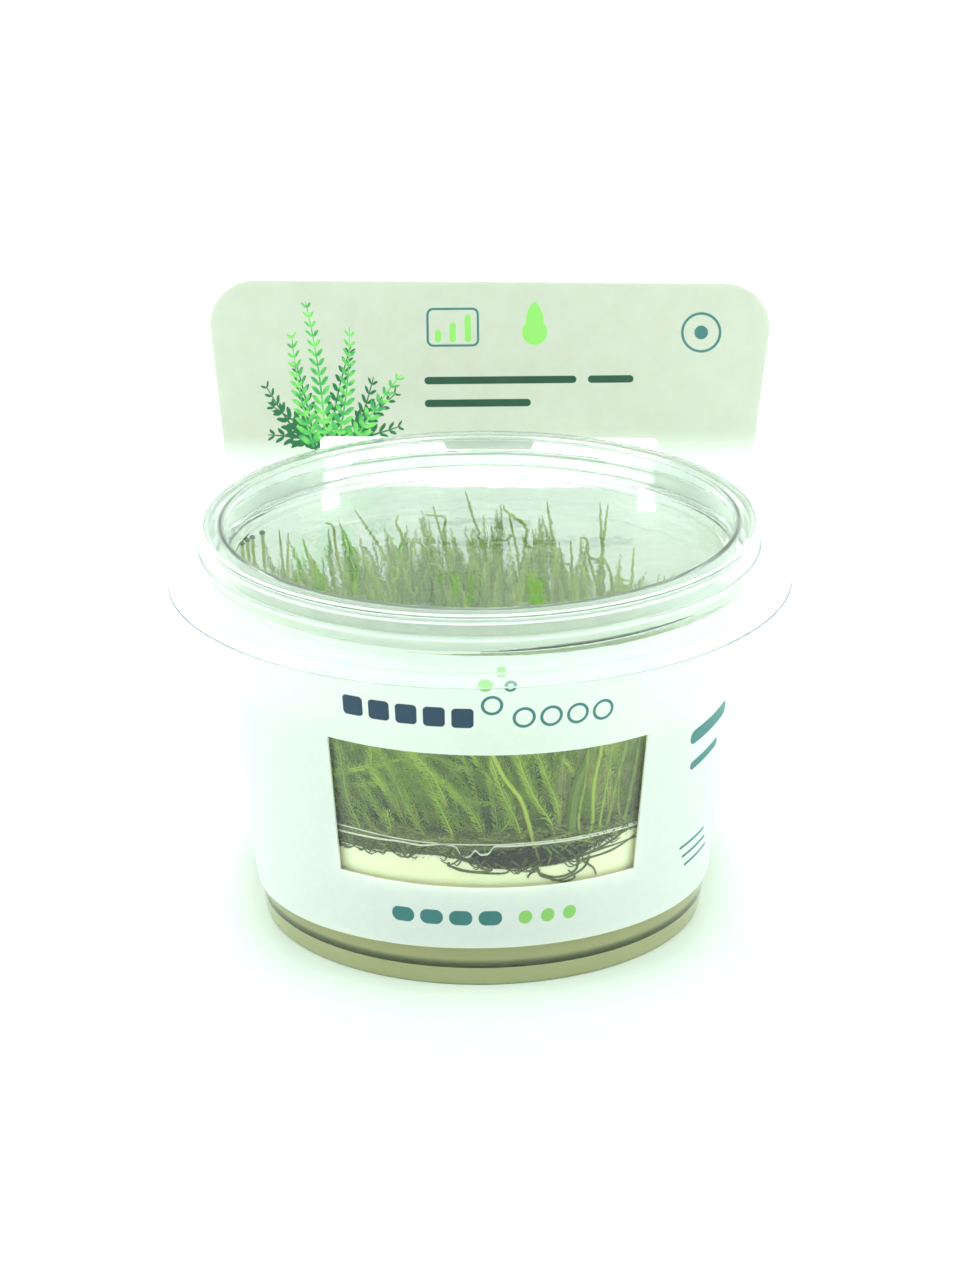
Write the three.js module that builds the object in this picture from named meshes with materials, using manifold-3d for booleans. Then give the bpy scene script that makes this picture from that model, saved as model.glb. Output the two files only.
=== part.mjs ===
// Tissue culture flame moss: a clump of moss on nutrient gel in a clear lidded cup,
// held in a white card sleeve with a window and a tall back.
// Millimetres, +Z up. Origin at the middle of the base, on the surface the cup stands on.
// The front, with the window, faces -Y.
import * as THREE from "three";
import { mergeVertices } from "three/addons/utils/BufferGeometryUtils.js";
import Module from "manifold-3d";

const DEG = Math.PI / 180;
const AROUND = 56; // flats round every turned piece
const GAP = 0.3; // between touching pieces

// cup
const CUP_BASE_R = 37.1; // outside of the wall where its cone meets the floor plane
const TAPER = 0.126; // growth of every radius of the cup for each mm of height
const CUP_WALL = 0.8;
const CUP_HEEL_R = 1.6; // rounding of the foot's outer edge
const FOOT_INNER_R = 33.2;
const FOOT_WIDTH = 2.3;
const BASE_RAISE = 1.5; // how far the base is pushed up inside the foot ring
const FOOT_SLOPE = 1.2; // run of the short slope from the raised base to the foot ring
const CUP_FLOOR_Z = 2.5; // inside
const FLOOR_CORNER_R = 1.8; // rounding inside, where the floor meets the wall
const WALL_TOP_Z = 61.2; // underside of the brim where it leaves the wall
const BRIM_R = 52.4;
const BRIM_EDGE_Z = 58.2;
const BRIM_FOLD_R = 50.6; // where the brim turns down to its lip
const BRIM_FOLD_Z = 60.2;
const BRIM_ROOT_Z = 61.9;
const BRIM_ROOT_R = 46.7;
const BRIM_CHAMFER = 0.2; // at the lip's lower edge
const NECK_R = 45.8;
const NECK_FILLET = 0.4;
const NECK_FOOT_Z = 61.8; // inside, where the neck meets the wall
const NECK_TOP_Z = 67.3;

// lid
const RING_TOP_Z = 68.4;
const RING_OUTER_R = 46.1;
const RING_INNER_R = 42.7;
const LID_WALL = 0.75;
const SKIRT_R = 47.0;
const SKIRT_FOOT_Z = 64.0;
const SKIRT_SHOULDER = 1.8; // drop from the ring's top to the skirt's straight side
const RING_BEVEL_R = 46.55;
const RING_BEVEL_Z = 68.05;
const PANEL_R = 41.2; // sunk middle of the lid
const PANEL_Z = 61.5;
const PANEL_BEVEL = 0.5; // at the panel's rim, where it turns up to the ring

// gel and moss
const GEL_TOP_Z = 27.6;
// The hollow that the moss has grown into the gel, as [radius, height] from its edge inwards
const BOWL = [[38.6, GEL_TOP_Z], [38.3, 23.4], [37.2, 21.5], [30, 20.7], [0, 20.2]];
const GEL_CORNER = 1.9;
const MAT_TOP_Z = 42;
const MAT_SIDE_R = 39.2;
const MAT_SHOULDER_Z = 36;
const MAT_LOW_SIDE_Z = 30.1;
const LUMP = 1.6; // depth of the lumps of the mat
const FROND_COUNT = 44;
const FROND_SPREAD_R = 33;
const FROND_R = 2.1; // at its foot
const FROND_TIP_R = 0.35;
const FROND_FOOT_Z = 33;
const FROND_TIP_Z = 60.2; // the tallest frond all but touches the lid
const TALLEST_FROND = 4; // its place in the order of planting
const TIP_RANGE = 6.5; // the others end up to this much lower
const SHORTER = 3; // two fronds of every three are shorter by this
const PLANTING_TURN = 137.5 * DEG; // from each frond to the next, so that they spread evenly
const CLEARING_X = 21; // right of this the fronds stay short, as photographed
const CLEARING_TIP_Z = 45;

// card sleeve
const CARD = 0.45; // thickness
const CARD_BOTTOM_Z = 7.7;
const CARD_TOP_Z = 60.6; // front edge, tucked under the brim
const CARD_SIDE_TOP_Z = 56.6; // lower where the band leaves the brim's shelter
const BACK_Y = 38.95; // inner face of the back at the card's bottom edge
const BACK_LEAN = 0.15; // how far the back goes out for each mm of height
const FOLD_X = 39.4; // half width between the folds at the card's bottom edge
const PANEL_LOW_X = 45.9; // half width of the back panel beside the brim
const PANEL_TOP_X = 49.0;
const BACK_TOP_Z = 93.8;
const BACK_CORNER_R = 8;
const SHOULDER_RUN = 14; // length of the slope from the front edge down to the side edge
const CARD_NOTCH = 1.5; // the back's sides turn out to the panel this far below the side edge
const CARD_SHIFT = 1.2; // the card's middle line sits right of the cup's, as photographed
const CARD_TILT = -0.9 * DEG; // and its cut edges lean a little, right side low
const WINDOW_ANGLE = 37.2 * DEG; // half of the window's arc round the cup
const WINDOW_LOW_Z = 18.6;
const WINDOW_HIGH_Z = 43.2;
const SLOT_X = 29.6; // half width of the slot that lets the brim through
const SLOT_LOW_Z = 57.4;
const SLOT_HIGH_Z = 66.5;
const SLOT_LEG = 3.1; // width of the relief cut at each end of the slot
const SLOT_LEG_Z = 53.2;
const TAB_X = 8.4; // half width of the tab that hangs into the slot
const TAB_LOW_Z = 64.6;
const TAB_DRAFT = 0.8; // each side of the tab slopes in by this
const SLOT_CORNER = 1;

const wasm = await Module();
wasm.setup();

// Solids: closed meshes in, closed meshes out

function bare(geometry) {
  geometry.deleteAttribute("normal");
  geometry.deleteAttribute("uv");
  return mergeVertices(geometry, 1e-4);
}

function signedVolume(geometry) {
  const p = geometry.attributes.position;
  const [a, b, c] = [new THREE.Vector3(), new THREE.Vector3(), new THREE.Vector3()];
  let six = 0;
  for (let i = 0; i < geometry.index.count; i += 3) {
    a.fromBufferAttribute(p, geometry.index.getX(i));
    b.fromBufferAttribute(p, geometry.index.getX(i + 1));
    c.fromBufferAttribute(p, geometry.index.getX(i + 2));
    six += a.dot(b.cross(c));
  }
  return six / 6;
}

function facingOut(geometry) {
  const merged = bare(geometry);
  if (signedVolume(merged) < 0) {
    merged.index.array.reverse();
  }
  return merged;
}

function solid(geometry) {
  const closed = facingOut(geometry);
  return new wasm.Manifold(new wasm.Mesh({
    numProp: 3,
    vertProperties: Float32Array.from(closed.attributes.position.array),
    triVerts: Uint32Array.from(closed.index.array),
  }));
}

function geometryOf(manifold) {
  const mesh = manifold.getMesh();
  const geometry = new THREE.BufferGeometry();
  geometry.setAttribute("position", new THREE.BufferAttribute(Float32Array.from(mesh.vertProperties), 3));
  geometry.setIndex(new THREE.BufferAttribute(Uint32Array.from(mesh.triVerts), 1));
  return geometry;
}

function moveVertices(geometry, place) {
  const p = geometry.attributes.position;
  const v = new THREE.Vector3();
  for (let i = 0; i < p.count; i += 1) {
    v.fromBufferAttribute(p, i);
    place(v);
    p.setXYZ(i, v.x, v.y, v.z);
  }
  return geometry;
}

// Turned pieces: a profile of [radius, height] points that starts and ends on the axis

function turned(profile) {
  const points = profile.map(([r, z]) => new THREE.Vector2(r, z));
  const geometry = new THREE.LatheGeometry(points, AROUND);
  geometry.rotateX(90 * DEG);
  return facingOut(geometry);
}

function arc(r, z, radius, from, to, steps) {
  const points = [];
  for (let i = 0; i <= steps; i += 1) {
    const a = from + (to - from) * (i / steps);
    points.push([r + radius * Math.cos(a), z + radius * Math.sin(a)]);
  }
  return points;
}

function cupOutside(z) {
  return CUP_BASE_R + TAPER * z;
}

function cupInside(z) {
  return cupOutside(z) - CUP_WALL;
}

function cup() {
  const heelR = cupOutside(CUP_HEEL_R) - CUP_HEEL_R;
  const cornerZ = CUP_FLOOR_Z + FLOOR_CORNER_R;
  const cornerR = cupInside(cornerZ) - FLOOR_CORNER_R;
  return turned([
    [0, BASE_RAISE],
    [FOOT_INNER_R - FOOT_SLOPE, BASE_RAISE],
    [FOOT_INNER_R, 0],
    [FOOT_INNER_R + FOOT_WIDTH, 0],
    ...arc(heelR, CUP_HEEL_R, CUP_HEEL_R, -70 * DEG, 0, 3),
    [cupOutside(WALL_TOP_Z), WALL_TOP_Z],
    [BRIM_FOLD_R - CUP_WALL / 2, BRIM_FOLD_Z - CUP_WALL],
    [BRIM_R - CUP_WALL, BRIM_EDGE_Z - BRIM_CHAMFER],
    [BRIM_R, BRIM_EDGE_Z],
    [BRIM_FOLD_R, BRIM_FOLD_Z],
    [BRIM_ROOT_R, BRIM_ROOT_Z],
    [NECK_R, BRIM_ROOT_Z + NECK_FILLET],
    [NECK_R, NECK_TOP_Z],
    [NECK_R - CUP_WALL, NECK_TOP_Z],
    [NECK_R - CUP_WALL, NECK_FOOT_Z],
    [cupInside(WALL_TOP_Z), WALL_TOP_Z],
    ...arc(cornerR, cornerZ, FLOOR_CORNER_R, 0, -90 * DEG, 3),
    [0, CUP_FLOOR_Z],
  ]);
}

function lid() {
  const under = RING_TOP_Z - LID_WALL;
  return turned([
    [0, PANEL_Z - LID_WALL],
    [PANEL_R, PANEL_Z - LID_WALL],
    [PANEL_R + LID_WALL, PANEL_Z],
    [RING_INNER_R + LID_WALL, under],
    [RING_BEVEL_R - LID_WALL, under],
    [SKIRT_R - LID_WALL, RING_TOP_Z - SKIRT_SHOULDER],
    [SKIRT_R - LID_WALL, SKIRT_FOOT_Z],
    [SKIRT_R, SKIRT_FOOT_Z],
    [SKIRT_R, RING_TOP_Z - SKIRT_SHOULDER],
    [RING_BEVEL_R, RING_BEVEL_Z],
    [RING_OUTER_R, RING_TOP_Z],
    [RING_INNER_R, RING_TOP_Z],
    [PANEL_R, PANEL_Z + PANEL_BEVEL],
    [PANEL_R - PANEL_BEVEL, PANEL_Z],
    [0, PANEL_Z],
  ]);
}

function gel() {
  const low = CUP_FLOOR_Z + GAP;
  return turned([
    [0, low],
    [cupInside(low) - GEL_CORNER, low],
    [cupInside(low + GEL_CORNER) - GAP, low + GEL_CORNER],
    [cupInside(GEL_TOP_Z) - GAP, GEL_TOP_Z],
    ...BOWL,
  ]);
}

// The mat's lumps: three crossing waves, always inward

function lump(x, y, z) {
  return LUMP * (0.5 + 0.5 * Math.sin(0.32 * x + 0.5 * z) * Math.cos(0.29 * y - 0.4 * z));
}

function mat() {
  const profile = BOWL.toReversed().map(([r, z]) => [Math.max(r - GAP, 0), z + GAP]);
  profile.push([MAT_SIDE_R, MAT_LOW_SIDE_Z], [MAT_SIDE_R, MAT_SHOULDER_Z]);
  for (const angle of [25, 48, 68]) {
    const rise = (MAT_TOP_Z - MAT_SHOULDER_Z) * Math.sin(angle * DEG);
    profile.push([MAT_SIDE_R * Math.cos(angle * DEG), MAT_SHOULDER_Z + rise]);
  }
  profile.push([0, MAT_TOP_Z]);
  const body = new THREE.LatheGeometry(profile.map(([r, z]) => new THREE.Vector2(r, z)), 32);
  body.rotateX(90 * DEG);
  return moveVertices(body, (v) => {
    if (v.z < GEL_TOP_Z + 1) return;
    const r = Math.hypot(v.x, v.y);
    const inward = r < 1 ? 1 : (r - lump(v.x, v.y, v.z)) / r;
    v.set(v.x * inward, v.y * inward, v.z - lump(v.y, v.x, v.z));
  });
}

// One upright frond: a tapered stalk of six sides that bends as it rises

function frond(x, y, tipZ, bendX, bendY, radius) {
  const height = tipZ - FROND_FOOT_Z;
  const stalk = new THREE.CylinderGeometry(FROND_TIP_R, radius, height, 6, 4);
  stalk.rotateX(90 * DEG);
  stalk.translate(0, 0, height / 2);
  return moveVertices(stalk, (v) => {
    const rise = v.z / height;
    const swell = 1 + 0.25 * Math.sin(rise * 9 + x);
    v.set(x + v.x * swell + bendX * rise * rise, y + v.y * swell + bendY * rise * rise, FROND_FOOT_Z + v.z);
  });
}

function moss() {
  let clump = solid(mat());
  for (let i = 0; i < FROND_COUNT; i += 1) {
    const r = FROND_SPREAD_R * Math.sqrt((i + 0.5) / FROND_COUNT);
    const turn = i * PLANTING_TURN;
    const [x, y] = [r * Math.cos(turn), r * Math.sin(turn)];
    const wander = Math.sin(i * 2.3);
    const lower = TIP_RANGE * (0.5 + 0.5 * Math.sin(i * 1.7)) + (i % 3 === 0 ? 0 : SHORTER);
    let tipZ = FROND_TIP_Z - (i === TALLEST_FROND ? 0 : lower);
    if (x > CLEARING_X) tipZ = CLEARING_TIP_Z;
    const radius = FROND_R * (1 + 0.2 * wander);
    const bendX = -1.5 + 1.4 * wander;
    const bendY = 2.2 * Math.cos(i * 1.1);
    clump = clump.add(solid(frond(x, y, tipZ, bendX, bendY, radius)));
  }
  return geometryOf(clump);
}

// The card sleeve: a band bent round the front, and a flat back that stands up behind

function cardR(z) {
  return CUP_BASE_R + GAP + TAPER * z;
}

function backY(z) {
  return BACK_Y + BACK_LEAN * (z - CARD_BOTTOM_Z);
}

function foldX(z) {
  return FOLD_X + TAPER * (z - CARD_BOTTOM_Z);
}

// A point of the band's outline: round the front from side to side, then straight back to a fold

function bandPoint(turn, outward) {
  return new THREE.Vector2((1 + outward) * Math.sin(turn), -(1 + outward) * Math.cos(turn));
}

function band() {
  const steps = 36;
  const outer = [];
  const inner = [];
  for (let i = 0; i <= steps; i += 1) {
    const turn = (-90 + (180 * i) / steps) * DEG;
    outer.push(bandPoint(turn, 1));
    inner.unshift(bandPoint(turn, 0));
  }
  // y = 1 marks the end of each straight side; x = +-1 its inner and +-2 its outer face
  const outline = new THREE.Shape([...outer, new THREE.Vector2(2, 1), new THREE.Vector2(1, 1), ...inner,
    new THREE.Vector2(-1, 1), new THREE.Vector2(-2, 1)]);
  const height = CARD_TOP_Z + 1 - CARD_BOTTOM_Z;
  const wall = new THREE.ExtrudeGeometry(outline, { depth: height, steps: 1, bevelEnabled: false });
  return moveVertices(wall, (v) => {
    const z = CARD_BOTTOM_Z + v.z;
    if (v.y > 0.5) {
      const outward = Math.abs(v.x) > 1.5 ? CARD : 0;
      v.set(Math.sign(v.x) * (foldX(z) + outward), backY(z) + CARD / 2, z);
    } else {
      const length = Math.hypot(v.x, v.y);
      const r = cardR(z) + (length > 1.5 ? CARD : 0);
      v.set((v.x / length) * r, (v.y / length) * r, z);
    }
  });
}

// Cutters for the card's edges lean with CARD_TILT about the card's middle line

function leaned(geometry) {
  geometry.translate(0, 0, -(WINDOW_LOW_Z + WINDOW_HIGH_Z) / 2);
  geometry.rotateY(-CARD_TILT);
  geometry.translate(0, 0, (WINDOW_LOW_Z + WINDOW_HIGH_Z) / 2);
  return geometry;
}

function windowCutter() {
  const reach = 60;
  const middle = Math.asin(CARD_SHIFT / cardR(WINDOW_HIGH_Z));
  const shape = new THREE.Shape();
  shape.moveTo(0, 0);
  for (const turn of [-WINDOW_ANGLE, -WINDOW_ANGLE / 3, WINDOW_ANGLE / 3, WINDOW_ANGLE]) {
    shape.lineTo(reach * Math.sin(middle + turn), -reach * Math.cos(middle + turn));
  }
  shape.closePath();
  const depth = WINDOW_HIGH_Z - WINDOW_LOW_Z;
  const cutter = new THREE.ExtrudeGeometry(shape, { depth, bevelEnabled: false });
  cutter.translate(0, 0, WINDOW_LOW_Z);
  return leaned(cutter);
}

// Takes the band down from its front height to its side height, behind a sloped step

function shoulderCutter() {
  const high = BACK_TOP_Z;
  const far = BRIM_R + BACK_Y;
  const shape = new THREE.Shape([
    new THREE.Vector2(-SHOULDER_RUN, high),
    new THREE.Vector2(-SHOULDER_RUN, CARD_TOP_Z),
    new THREE.Vector2(0, CARD_SIDE_TOP_Z),
    new THREE.Vector2(far, CARD_SIDE_TOP_Z),
    new THREE.Vector2(far, high),
  ]);
  const cutter = new THREE.ExtrudeGeometry(shape, { depth: 2 * far, bevelEnabled: false });
  // the shape's x and y become the object's y and z, and its depth runs along x
  cutter.rotateX(90 * DEG);
  cutter.rotateZ(90 * DEG);
  cutter.translate(-far, 0, 0);
  return leaned(cutter);
}

// Everything above a height, as one block

function above(z) {
  const wide = 3 * BRIM_R;
  const block = new THREE.BoxGeometry(wide, wide, 10);
  block.translate(0, 0, z + 5);
  return block;
}

// The back's outline lies in its own plane: x across, y up from the bottom edge

function backOutline() {
  const up = (z) => (z - CARD_BOTTOM_Z) * Math.hypot(1, BACK_LEAN);
  const tilt = new THREE.Matrix3().makeRotation(CARD_TILT);
  const cut = (x, z) => {
    const middle = up((WINDOW_LOW_Z + WINDOW_HIGH_Z) / 2);
    const p = new THREE.Vector2(x, up(z) - middle).applyMatrix3(tilt);
    return [p.x + CARD_SHIFT, p.y + middle];
  };
  const shape = new THREE.Shape();
  shape.moveTo(-FOLD_X - CARD, 0);
  shape.lineTo(FOLD_X + CARD, 0);
  shape.lineTo(foldX(CARD_SIDE_TOP_Z) + CARD, up(CARD_SIDE_TOP_Z - CARD_NOTCH));
  shape.lineTo(...cut(PANEL_LOW_X, CARD_SIDE_TOP_Z + 1));
  const corner = arc(PANEL_TOP_X - BACK_CORNER_R, BACK_TOP_Z - BACK_CORNER_R, BACK_CORNER_R, 0, 90 * DEG, 5);
  for (const [x, z] of corner) {
    shape.lineTo(...cut(x, z));
  }
  for (const [x, z] of corner.reverse()) {
    shape.lineTo(...cut(-x, z));
  }
  shape.lineTo(...cut(-PANEL_LOW_X, CARD_SIDE_TOP_Z + 1));
  shape.lineTo(-foldX(CARD_SIDE_TOP_Z) - CARD, up(CARD_SIDE_TOP_Z - CARD_NOTCH));
  shape.closePath();

  const slot = new THREE.Path();
  slot.moveTo(...cut(-SLOT_X, SLOT_LEG_Z));
  slot.lineTo(...cut(SLOT_LEG - SLOT_X, SLOT_LEG_Z));
  slot.lineTo(...cut(SLOT_LEG - SLOT_X, SLOT_LOW_Z));
  slot.lineTo(...cut(SLOT_X - SLOT_LEG, SLOT_LOW_Z));
  slot.lineTo(...cut(SLOT_X - SLOT_LEG, SLOT_LEG_Z));
  slot.lineTo(...cut(SLOT_X, SLOT_LEG_Z));
  slot.lineTo(...cut(SLOT_X, SLOT_HIGH_Z - SLOT_CORNER));
  slot.lineTo(...cut(SLOT_X - SLOT_CORNER, SLOT_HIGH_Z));
  slot.lineTo(...cut(TAB_X, SLOT_HIGH_Z));
  slot.lineTo(...cut(TAB_X - TAB_DRAFT, TAB_LOW_Z));
  slot.lineTo(...cut(TAB_DRAFT - TAB_X, TAB_LOW_Z));
  slot.lineTo(...cut(-TAB_X, SLOT_HIGH_Z));
  slot.lineTo(...cut(SLOT_CORNER - SLOT_X, SLOT_HIGH_Z));
  slot.lineTo(...cut(-SLOT_X, SLOT_HIGH_Z - SLOT_CORNER));
  slot.closePath();
  shape.holes.push(slot);
  return shape;
}

function back() {
  const plate = new THREE.ExtrudeGeometry(backOutline(), { depth: CARD, bevelEnabled: false });
  // stand it up with its thickness going backwards, then lean it about its bottom edge
  plate.rotateX(90 * DEG);
  plate.translate(0, CARD, 0);
  plate.rotateX(-Math.atan(BACK_LEAN));
  plate.translate(0, BACK_Y, CARD_BOTTOM_Z);
  return plate;
}

function cardSleeve() {
  const edges = [leaned(above(CARD_TOP_Z)), above(WALL_TOP_Z - GAP), shoulderCutter(), windowCutter()];
  const front = edges.reduce((card, cutter) => card.subtract(solid(cutter)), solid(band()));
  return geometryOf(front.add(solid(back())));
}

// Materials and the assembled group

function finish(color, roughness, opacity = 1) {
  const clear = opacity < 1;
  return new THREE.MeshStandardMaterial({ color, roughness, metalness: 0, transparent: clear, opacity });
}

const CLEAR_PLASTIC = finish(0xf2fbf4, 0.12, 0.3);
const NUTRIENT_GEL = finish(0xe4eab4, 0.2, 0.7);
const MOSS_GREEN = finish(0x5f8f3a, 0.75);
const WHITE_CARD = finish(0xf1f7f0, 0.6);

const pieces = [
  ["cup", cup(), CLEAR_PLASTIC],
  ["lid", lid(), CLEAR_PLASTIC],
  ["card_sleeve", cardSleeve(), WHITE_CARD],
  ["nutrient_gel", gel(), NUTRIENT_GEL],
  ["flame_moss", moss(), MOSS_GREEN],
];

const group = new THREE.Group();
for (const [name, geometry, material] of pieces) {
  const mesh = new THREE.Mesh(geometry, material);
  mesh.name = name;
  group.add(mesh);
}

export default group;
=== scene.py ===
# A clump of flame moss on nutrient gel in a clear lidded cup, held in a printed card sleeve.
# Blender works in metres. Sizes below are in millimetres, and MM turns them into metres.
import math

import bmesh
import bpy
import numpy as np
from mathutils import Matrix, Vector, noise


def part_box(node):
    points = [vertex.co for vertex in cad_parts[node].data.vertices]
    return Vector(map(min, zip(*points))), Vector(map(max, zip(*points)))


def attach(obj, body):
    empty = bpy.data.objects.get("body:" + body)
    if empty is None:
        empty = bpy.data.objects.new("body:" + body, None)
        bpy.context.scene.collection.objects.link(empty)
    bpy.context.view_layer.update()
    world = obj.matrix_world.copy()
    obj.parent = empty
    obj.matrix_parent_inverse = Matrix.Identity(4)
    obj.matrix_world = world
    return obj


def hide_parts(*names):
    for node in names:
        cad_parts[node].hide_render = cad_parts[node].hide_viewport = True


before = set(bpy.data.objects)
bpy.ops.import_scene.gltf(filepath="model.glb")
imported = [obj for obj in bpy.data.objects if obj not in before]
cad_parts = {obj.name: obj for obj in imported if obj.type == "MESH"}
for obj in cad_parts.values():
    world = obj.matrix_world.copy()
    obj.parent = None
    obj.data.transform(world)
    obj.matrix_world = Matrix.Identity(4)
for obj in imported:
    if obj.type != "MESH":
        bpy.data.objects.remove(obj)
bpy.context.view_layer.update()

MM = 0.001
DEG = math.pi / 180


def mm(node):
    """Lowest and highest corner of a CAD node, in millimetres."""
    low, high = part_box(node)
    return Vector(low) / MM, Vector(high) / MM


# Sizes that the frame gives
BRIM_R = mm("cup")[1].x
NECK_TOP_Z = mm("cup")[1].z
RING_TOP_Z = mm("lid")[1].z
SKIRT_R = mm("lid")[1].x

# Cup
CUP_BASE_R = 37.1
TAPER = 0.126
CUP_WALL = 0.8
FOOT_INNER_R = 33.2
FOOT_WIDTH = 3.8
FOOT_SLOPE = 1.2
BASE_RAISE = 1.5
CUP_FLOOR_Z = 2.5
FOOT_BAND_Z = 3.3  # up to here the clear foot is painted with the shaded gel's colour, a painted view of the gel through it
SLIT_DEPTH = 0.65  # the clear slit under the lid's skirt, in front and towards the right
SLIT_START = -0.1
SLIT_SPAN = 1.1
NECK_BAND_TOP = 0.6  # how far the neck's milky band, a painted band of light, goes up inside the skirt
WALL_TOP_Z = 61.2
BRIM_EDGE_Z = 58.2
BRIM_FOLD_R = 50.6
BRIM_FOLD_Z = 60.2
BRIM_ROOT_R = 46.7
BRIM_ROOT_Z = 61.9
NECK_R = 45.8

# Lid
RING_OUTER_R = 46.1
RING_INNER_R = 42.7
LID_WALL = 0.75
SKIRT_FOOT_Z = 64.0
SKIRT_STEP_Z = 66.85
PANEL_R = 41.2
PANEL_Z = 61.5
HIGHLIGHT_HALF_WIDTH = 0.22  # half the width of the skirt's milky lines, which are painted highlights

# Gel and moss
GEL_TOP_Z = 26.4
GEL_INTO_WALL = 0.05  # low down the gel wets the wall, so it is drawn a little way into the plastic
GEL_GAP = 0.3
GEL_LOOSE_Z = 12  # above here the gel has shrunk from the wall
GEL_EDGE_Z = 24.1  # where the moss mat meets the gel at the wall
GEL_HOLLOW = 2.9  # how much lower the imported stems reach, right of the window's middle
GEL_HOLLOW_X = 8
GEL_HOLLOW_SPAN = 11.5
GEL_RISE = 1.5  # how much higher the gel stands at the window's right
GEL_RISE_X = 28
GEL_RISE_SPAN = 6
GEL_SHAPED_Z = 18  # above here the gel's side follows its uneven edge
FILM_DROP = 0.35  # how much lower the film's second line runs
FILM_RISE = 0.75  # how much higher its first line runs at the window's left
FILM_SAGS = ((-2.9, 1.7), (0.3, 1.5))  # where the second line sags, and how far
FILM_SAG_SPAN = 1.4
MAT_TOP_Z = 40
FROND_TIP_Z = 60.2
BODY_TIP_Z = 59.6  # no frond of the body is aimed higher
FOOT_INSET = 0.94  # a frond's foot is set in to this share of its distance from the middle
BODY_LEAF = (0.22, 1.2, 0.42)  # spacing, length and width of a frond's leaves
SPIRAL = 137.5  # degrees from one leaf to the next round a stem
FLAT = 180  # the same where leaves stand in two rows, like a feather's
CLEARING_X = 23  # no drawn-out shoot stands right of here

# Card sleeve
CARD = 0.45
CARD_GAP = 0.12
CARD_BOTTOM_Z = 7.7
CARD_DIP = 0.35  # how much lower the band's cut lower edge is at the front
CARD_SIDE_DIP = 0.75
CARD_LEFT_DIP = 0.35
CARD_TOP_Z = 60.6
CARD_SIDE_TOP_Z = 56.6
SHOULDER_RUN = 14
BACK_Y = 38.95
BACK_LEAN = 0.15
FOLD_X = 39.4
FOLD_R = 1.1
FOLD_WAY = 1.8  # where the fold starts, on the way round the band from -2 to 2
BAND_STEPS = 4  # rows of faces under, beside and over the window
PANEL_LOW_X = 45.9
PANEL_TOP_X = 49.0
BACK_TOP_Z = 93.8
BACK_CORNER_R = 8
EAR_R = 1.5  # rounding of the standing panel's lower corners
EAR_Z = CARD_SIDE_TOP_Z + 2.5
EAR_NOTCH_Z = CARD_SIDE_TOP_Z + 0.6
CARD_SHIFT = 1.2
CARD_TILT = 0.9 * DEG
WINDOW_ANGLE = 37.2 * DEG
WINDOW_LOW_Z = 18.6
WINDOW_HIGH_Z = 43.2
SLOT_X = 29.6
SLOT_LOW_Z = 57.4
SLOT_HIGH_Z = 66.5
SLOT_LEG = 3.1
SLOT_LEG_Z = 53.2
SLOT_CORNER = 1
TAB_X = 8.4
TAB_LOW_Z = 64.6
TAB_DRAFT = 0.8
WINDOW_MIDDLE_Z = (WINDOW_LOW_Z + WINDOW_HIGH_Z) / 2
PRINT_SCALE = 100  # the card's UV map holds millimetres divided by this
FLAT_R = 43  # the band's print is laid out on this radius


# Node arithmetic: a material's values are written as formulas

class Value:
    """A number that a material works out at every point."""

    def __init__(self, tree, socket):
        self.tree = tree
        self.socket = socket

    def __add__(self, other):
        return work(self.tree, "ADD", self, other)

    def __radd__(self, other):
        return work(self.tree, "ADD", other, self)

    def __sub__(self, other):
        return work(self.tree, "SUBTRACT", self, other)

    def __rsub__(self, other):
        return work(self.tree, "SUBTRACT", other, self)

    def __mul__(self, other):
        return work(self.tree, "MULTIPLY", self, other)

    def __rmul__(self, other):
        return work(self.tree, "MULTIPLY", other, self)


def work(tree, operation, *values, clamp=False):
    """One math node fed with Values and plain numbers."""
    node = tree.nodes.new("ShaderNodeMath")
    node.operation = operation
    node.use_clamp = clamp
    for place, value in enumerate(values):
        if isinstance(value, Value):
            tree.links.new(value.socket, node.inputs[place])
        else:
            node.inputs[place].default_value = value
    return Value(tree, node.outputs[0])


def largest(*values):
    result = values[0]
    for value in values[1:]:
        result = work(result.tree, "MAXIMUM", result, value)
    return result


def smallest(*values):
    result = values[0]
    for value in values[1:]:
        result = work(result.tree, "MINIMUM", result, value)
    return result


def size_of(value):
    return work(value.tree, "ABSOLUTE", value)


def ramp(value, low, high, to_low=0.0, to_high=1.0):
    """Maps low..high to to_low..to_high, smoothly and within those ends."""
    node = value.tree.nodes.new("ShaderNodeMapRange")
    node.interpolation_type = "SMOOTHSTEP"
    for place, number in enumerate((low, high, to_low, to_high)):
        node.inputs[place + 1].default_value = number
    value.tree.links.new(value.socket, node.inputs[0])
    return Value(value.tree, node.outputs[0])


def mix(tree, share, first, second):
    """A colour between two colours, each a tuple or a socket."""
    node = tree.nodes.new("ShaderNodeMix")
    node.data_type = "RGBA"
    sockets = [s for s in node.inputs if s.type == "RGBA"]
    for socket, colour in zip(sockets, (first, second)):
        if isinstance(colour, tuple):
            socket.default_value = (*colour, 1)
        else:
            tree.links.new(colour, socket)
    tree.links.new(share.socket, node.inputs[0])
    return [s for s in node.outputs if s.type == "RGBA"][0]


def object_place(tree):
    """Object coordinates, in metres."""
    return tree.nodes.new("ShaderNodeTexCoord").outputs["Object"]


def axes(tree, vector):
    """The three coordinates of a vector."""
    apart = tree.nodes.new("ShaderNodeSeparateXYZ")
    tree.links.new(vector, apart.inputs[0])
    return [Value(tree, socket) for socket in apart.outputs]


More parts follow.
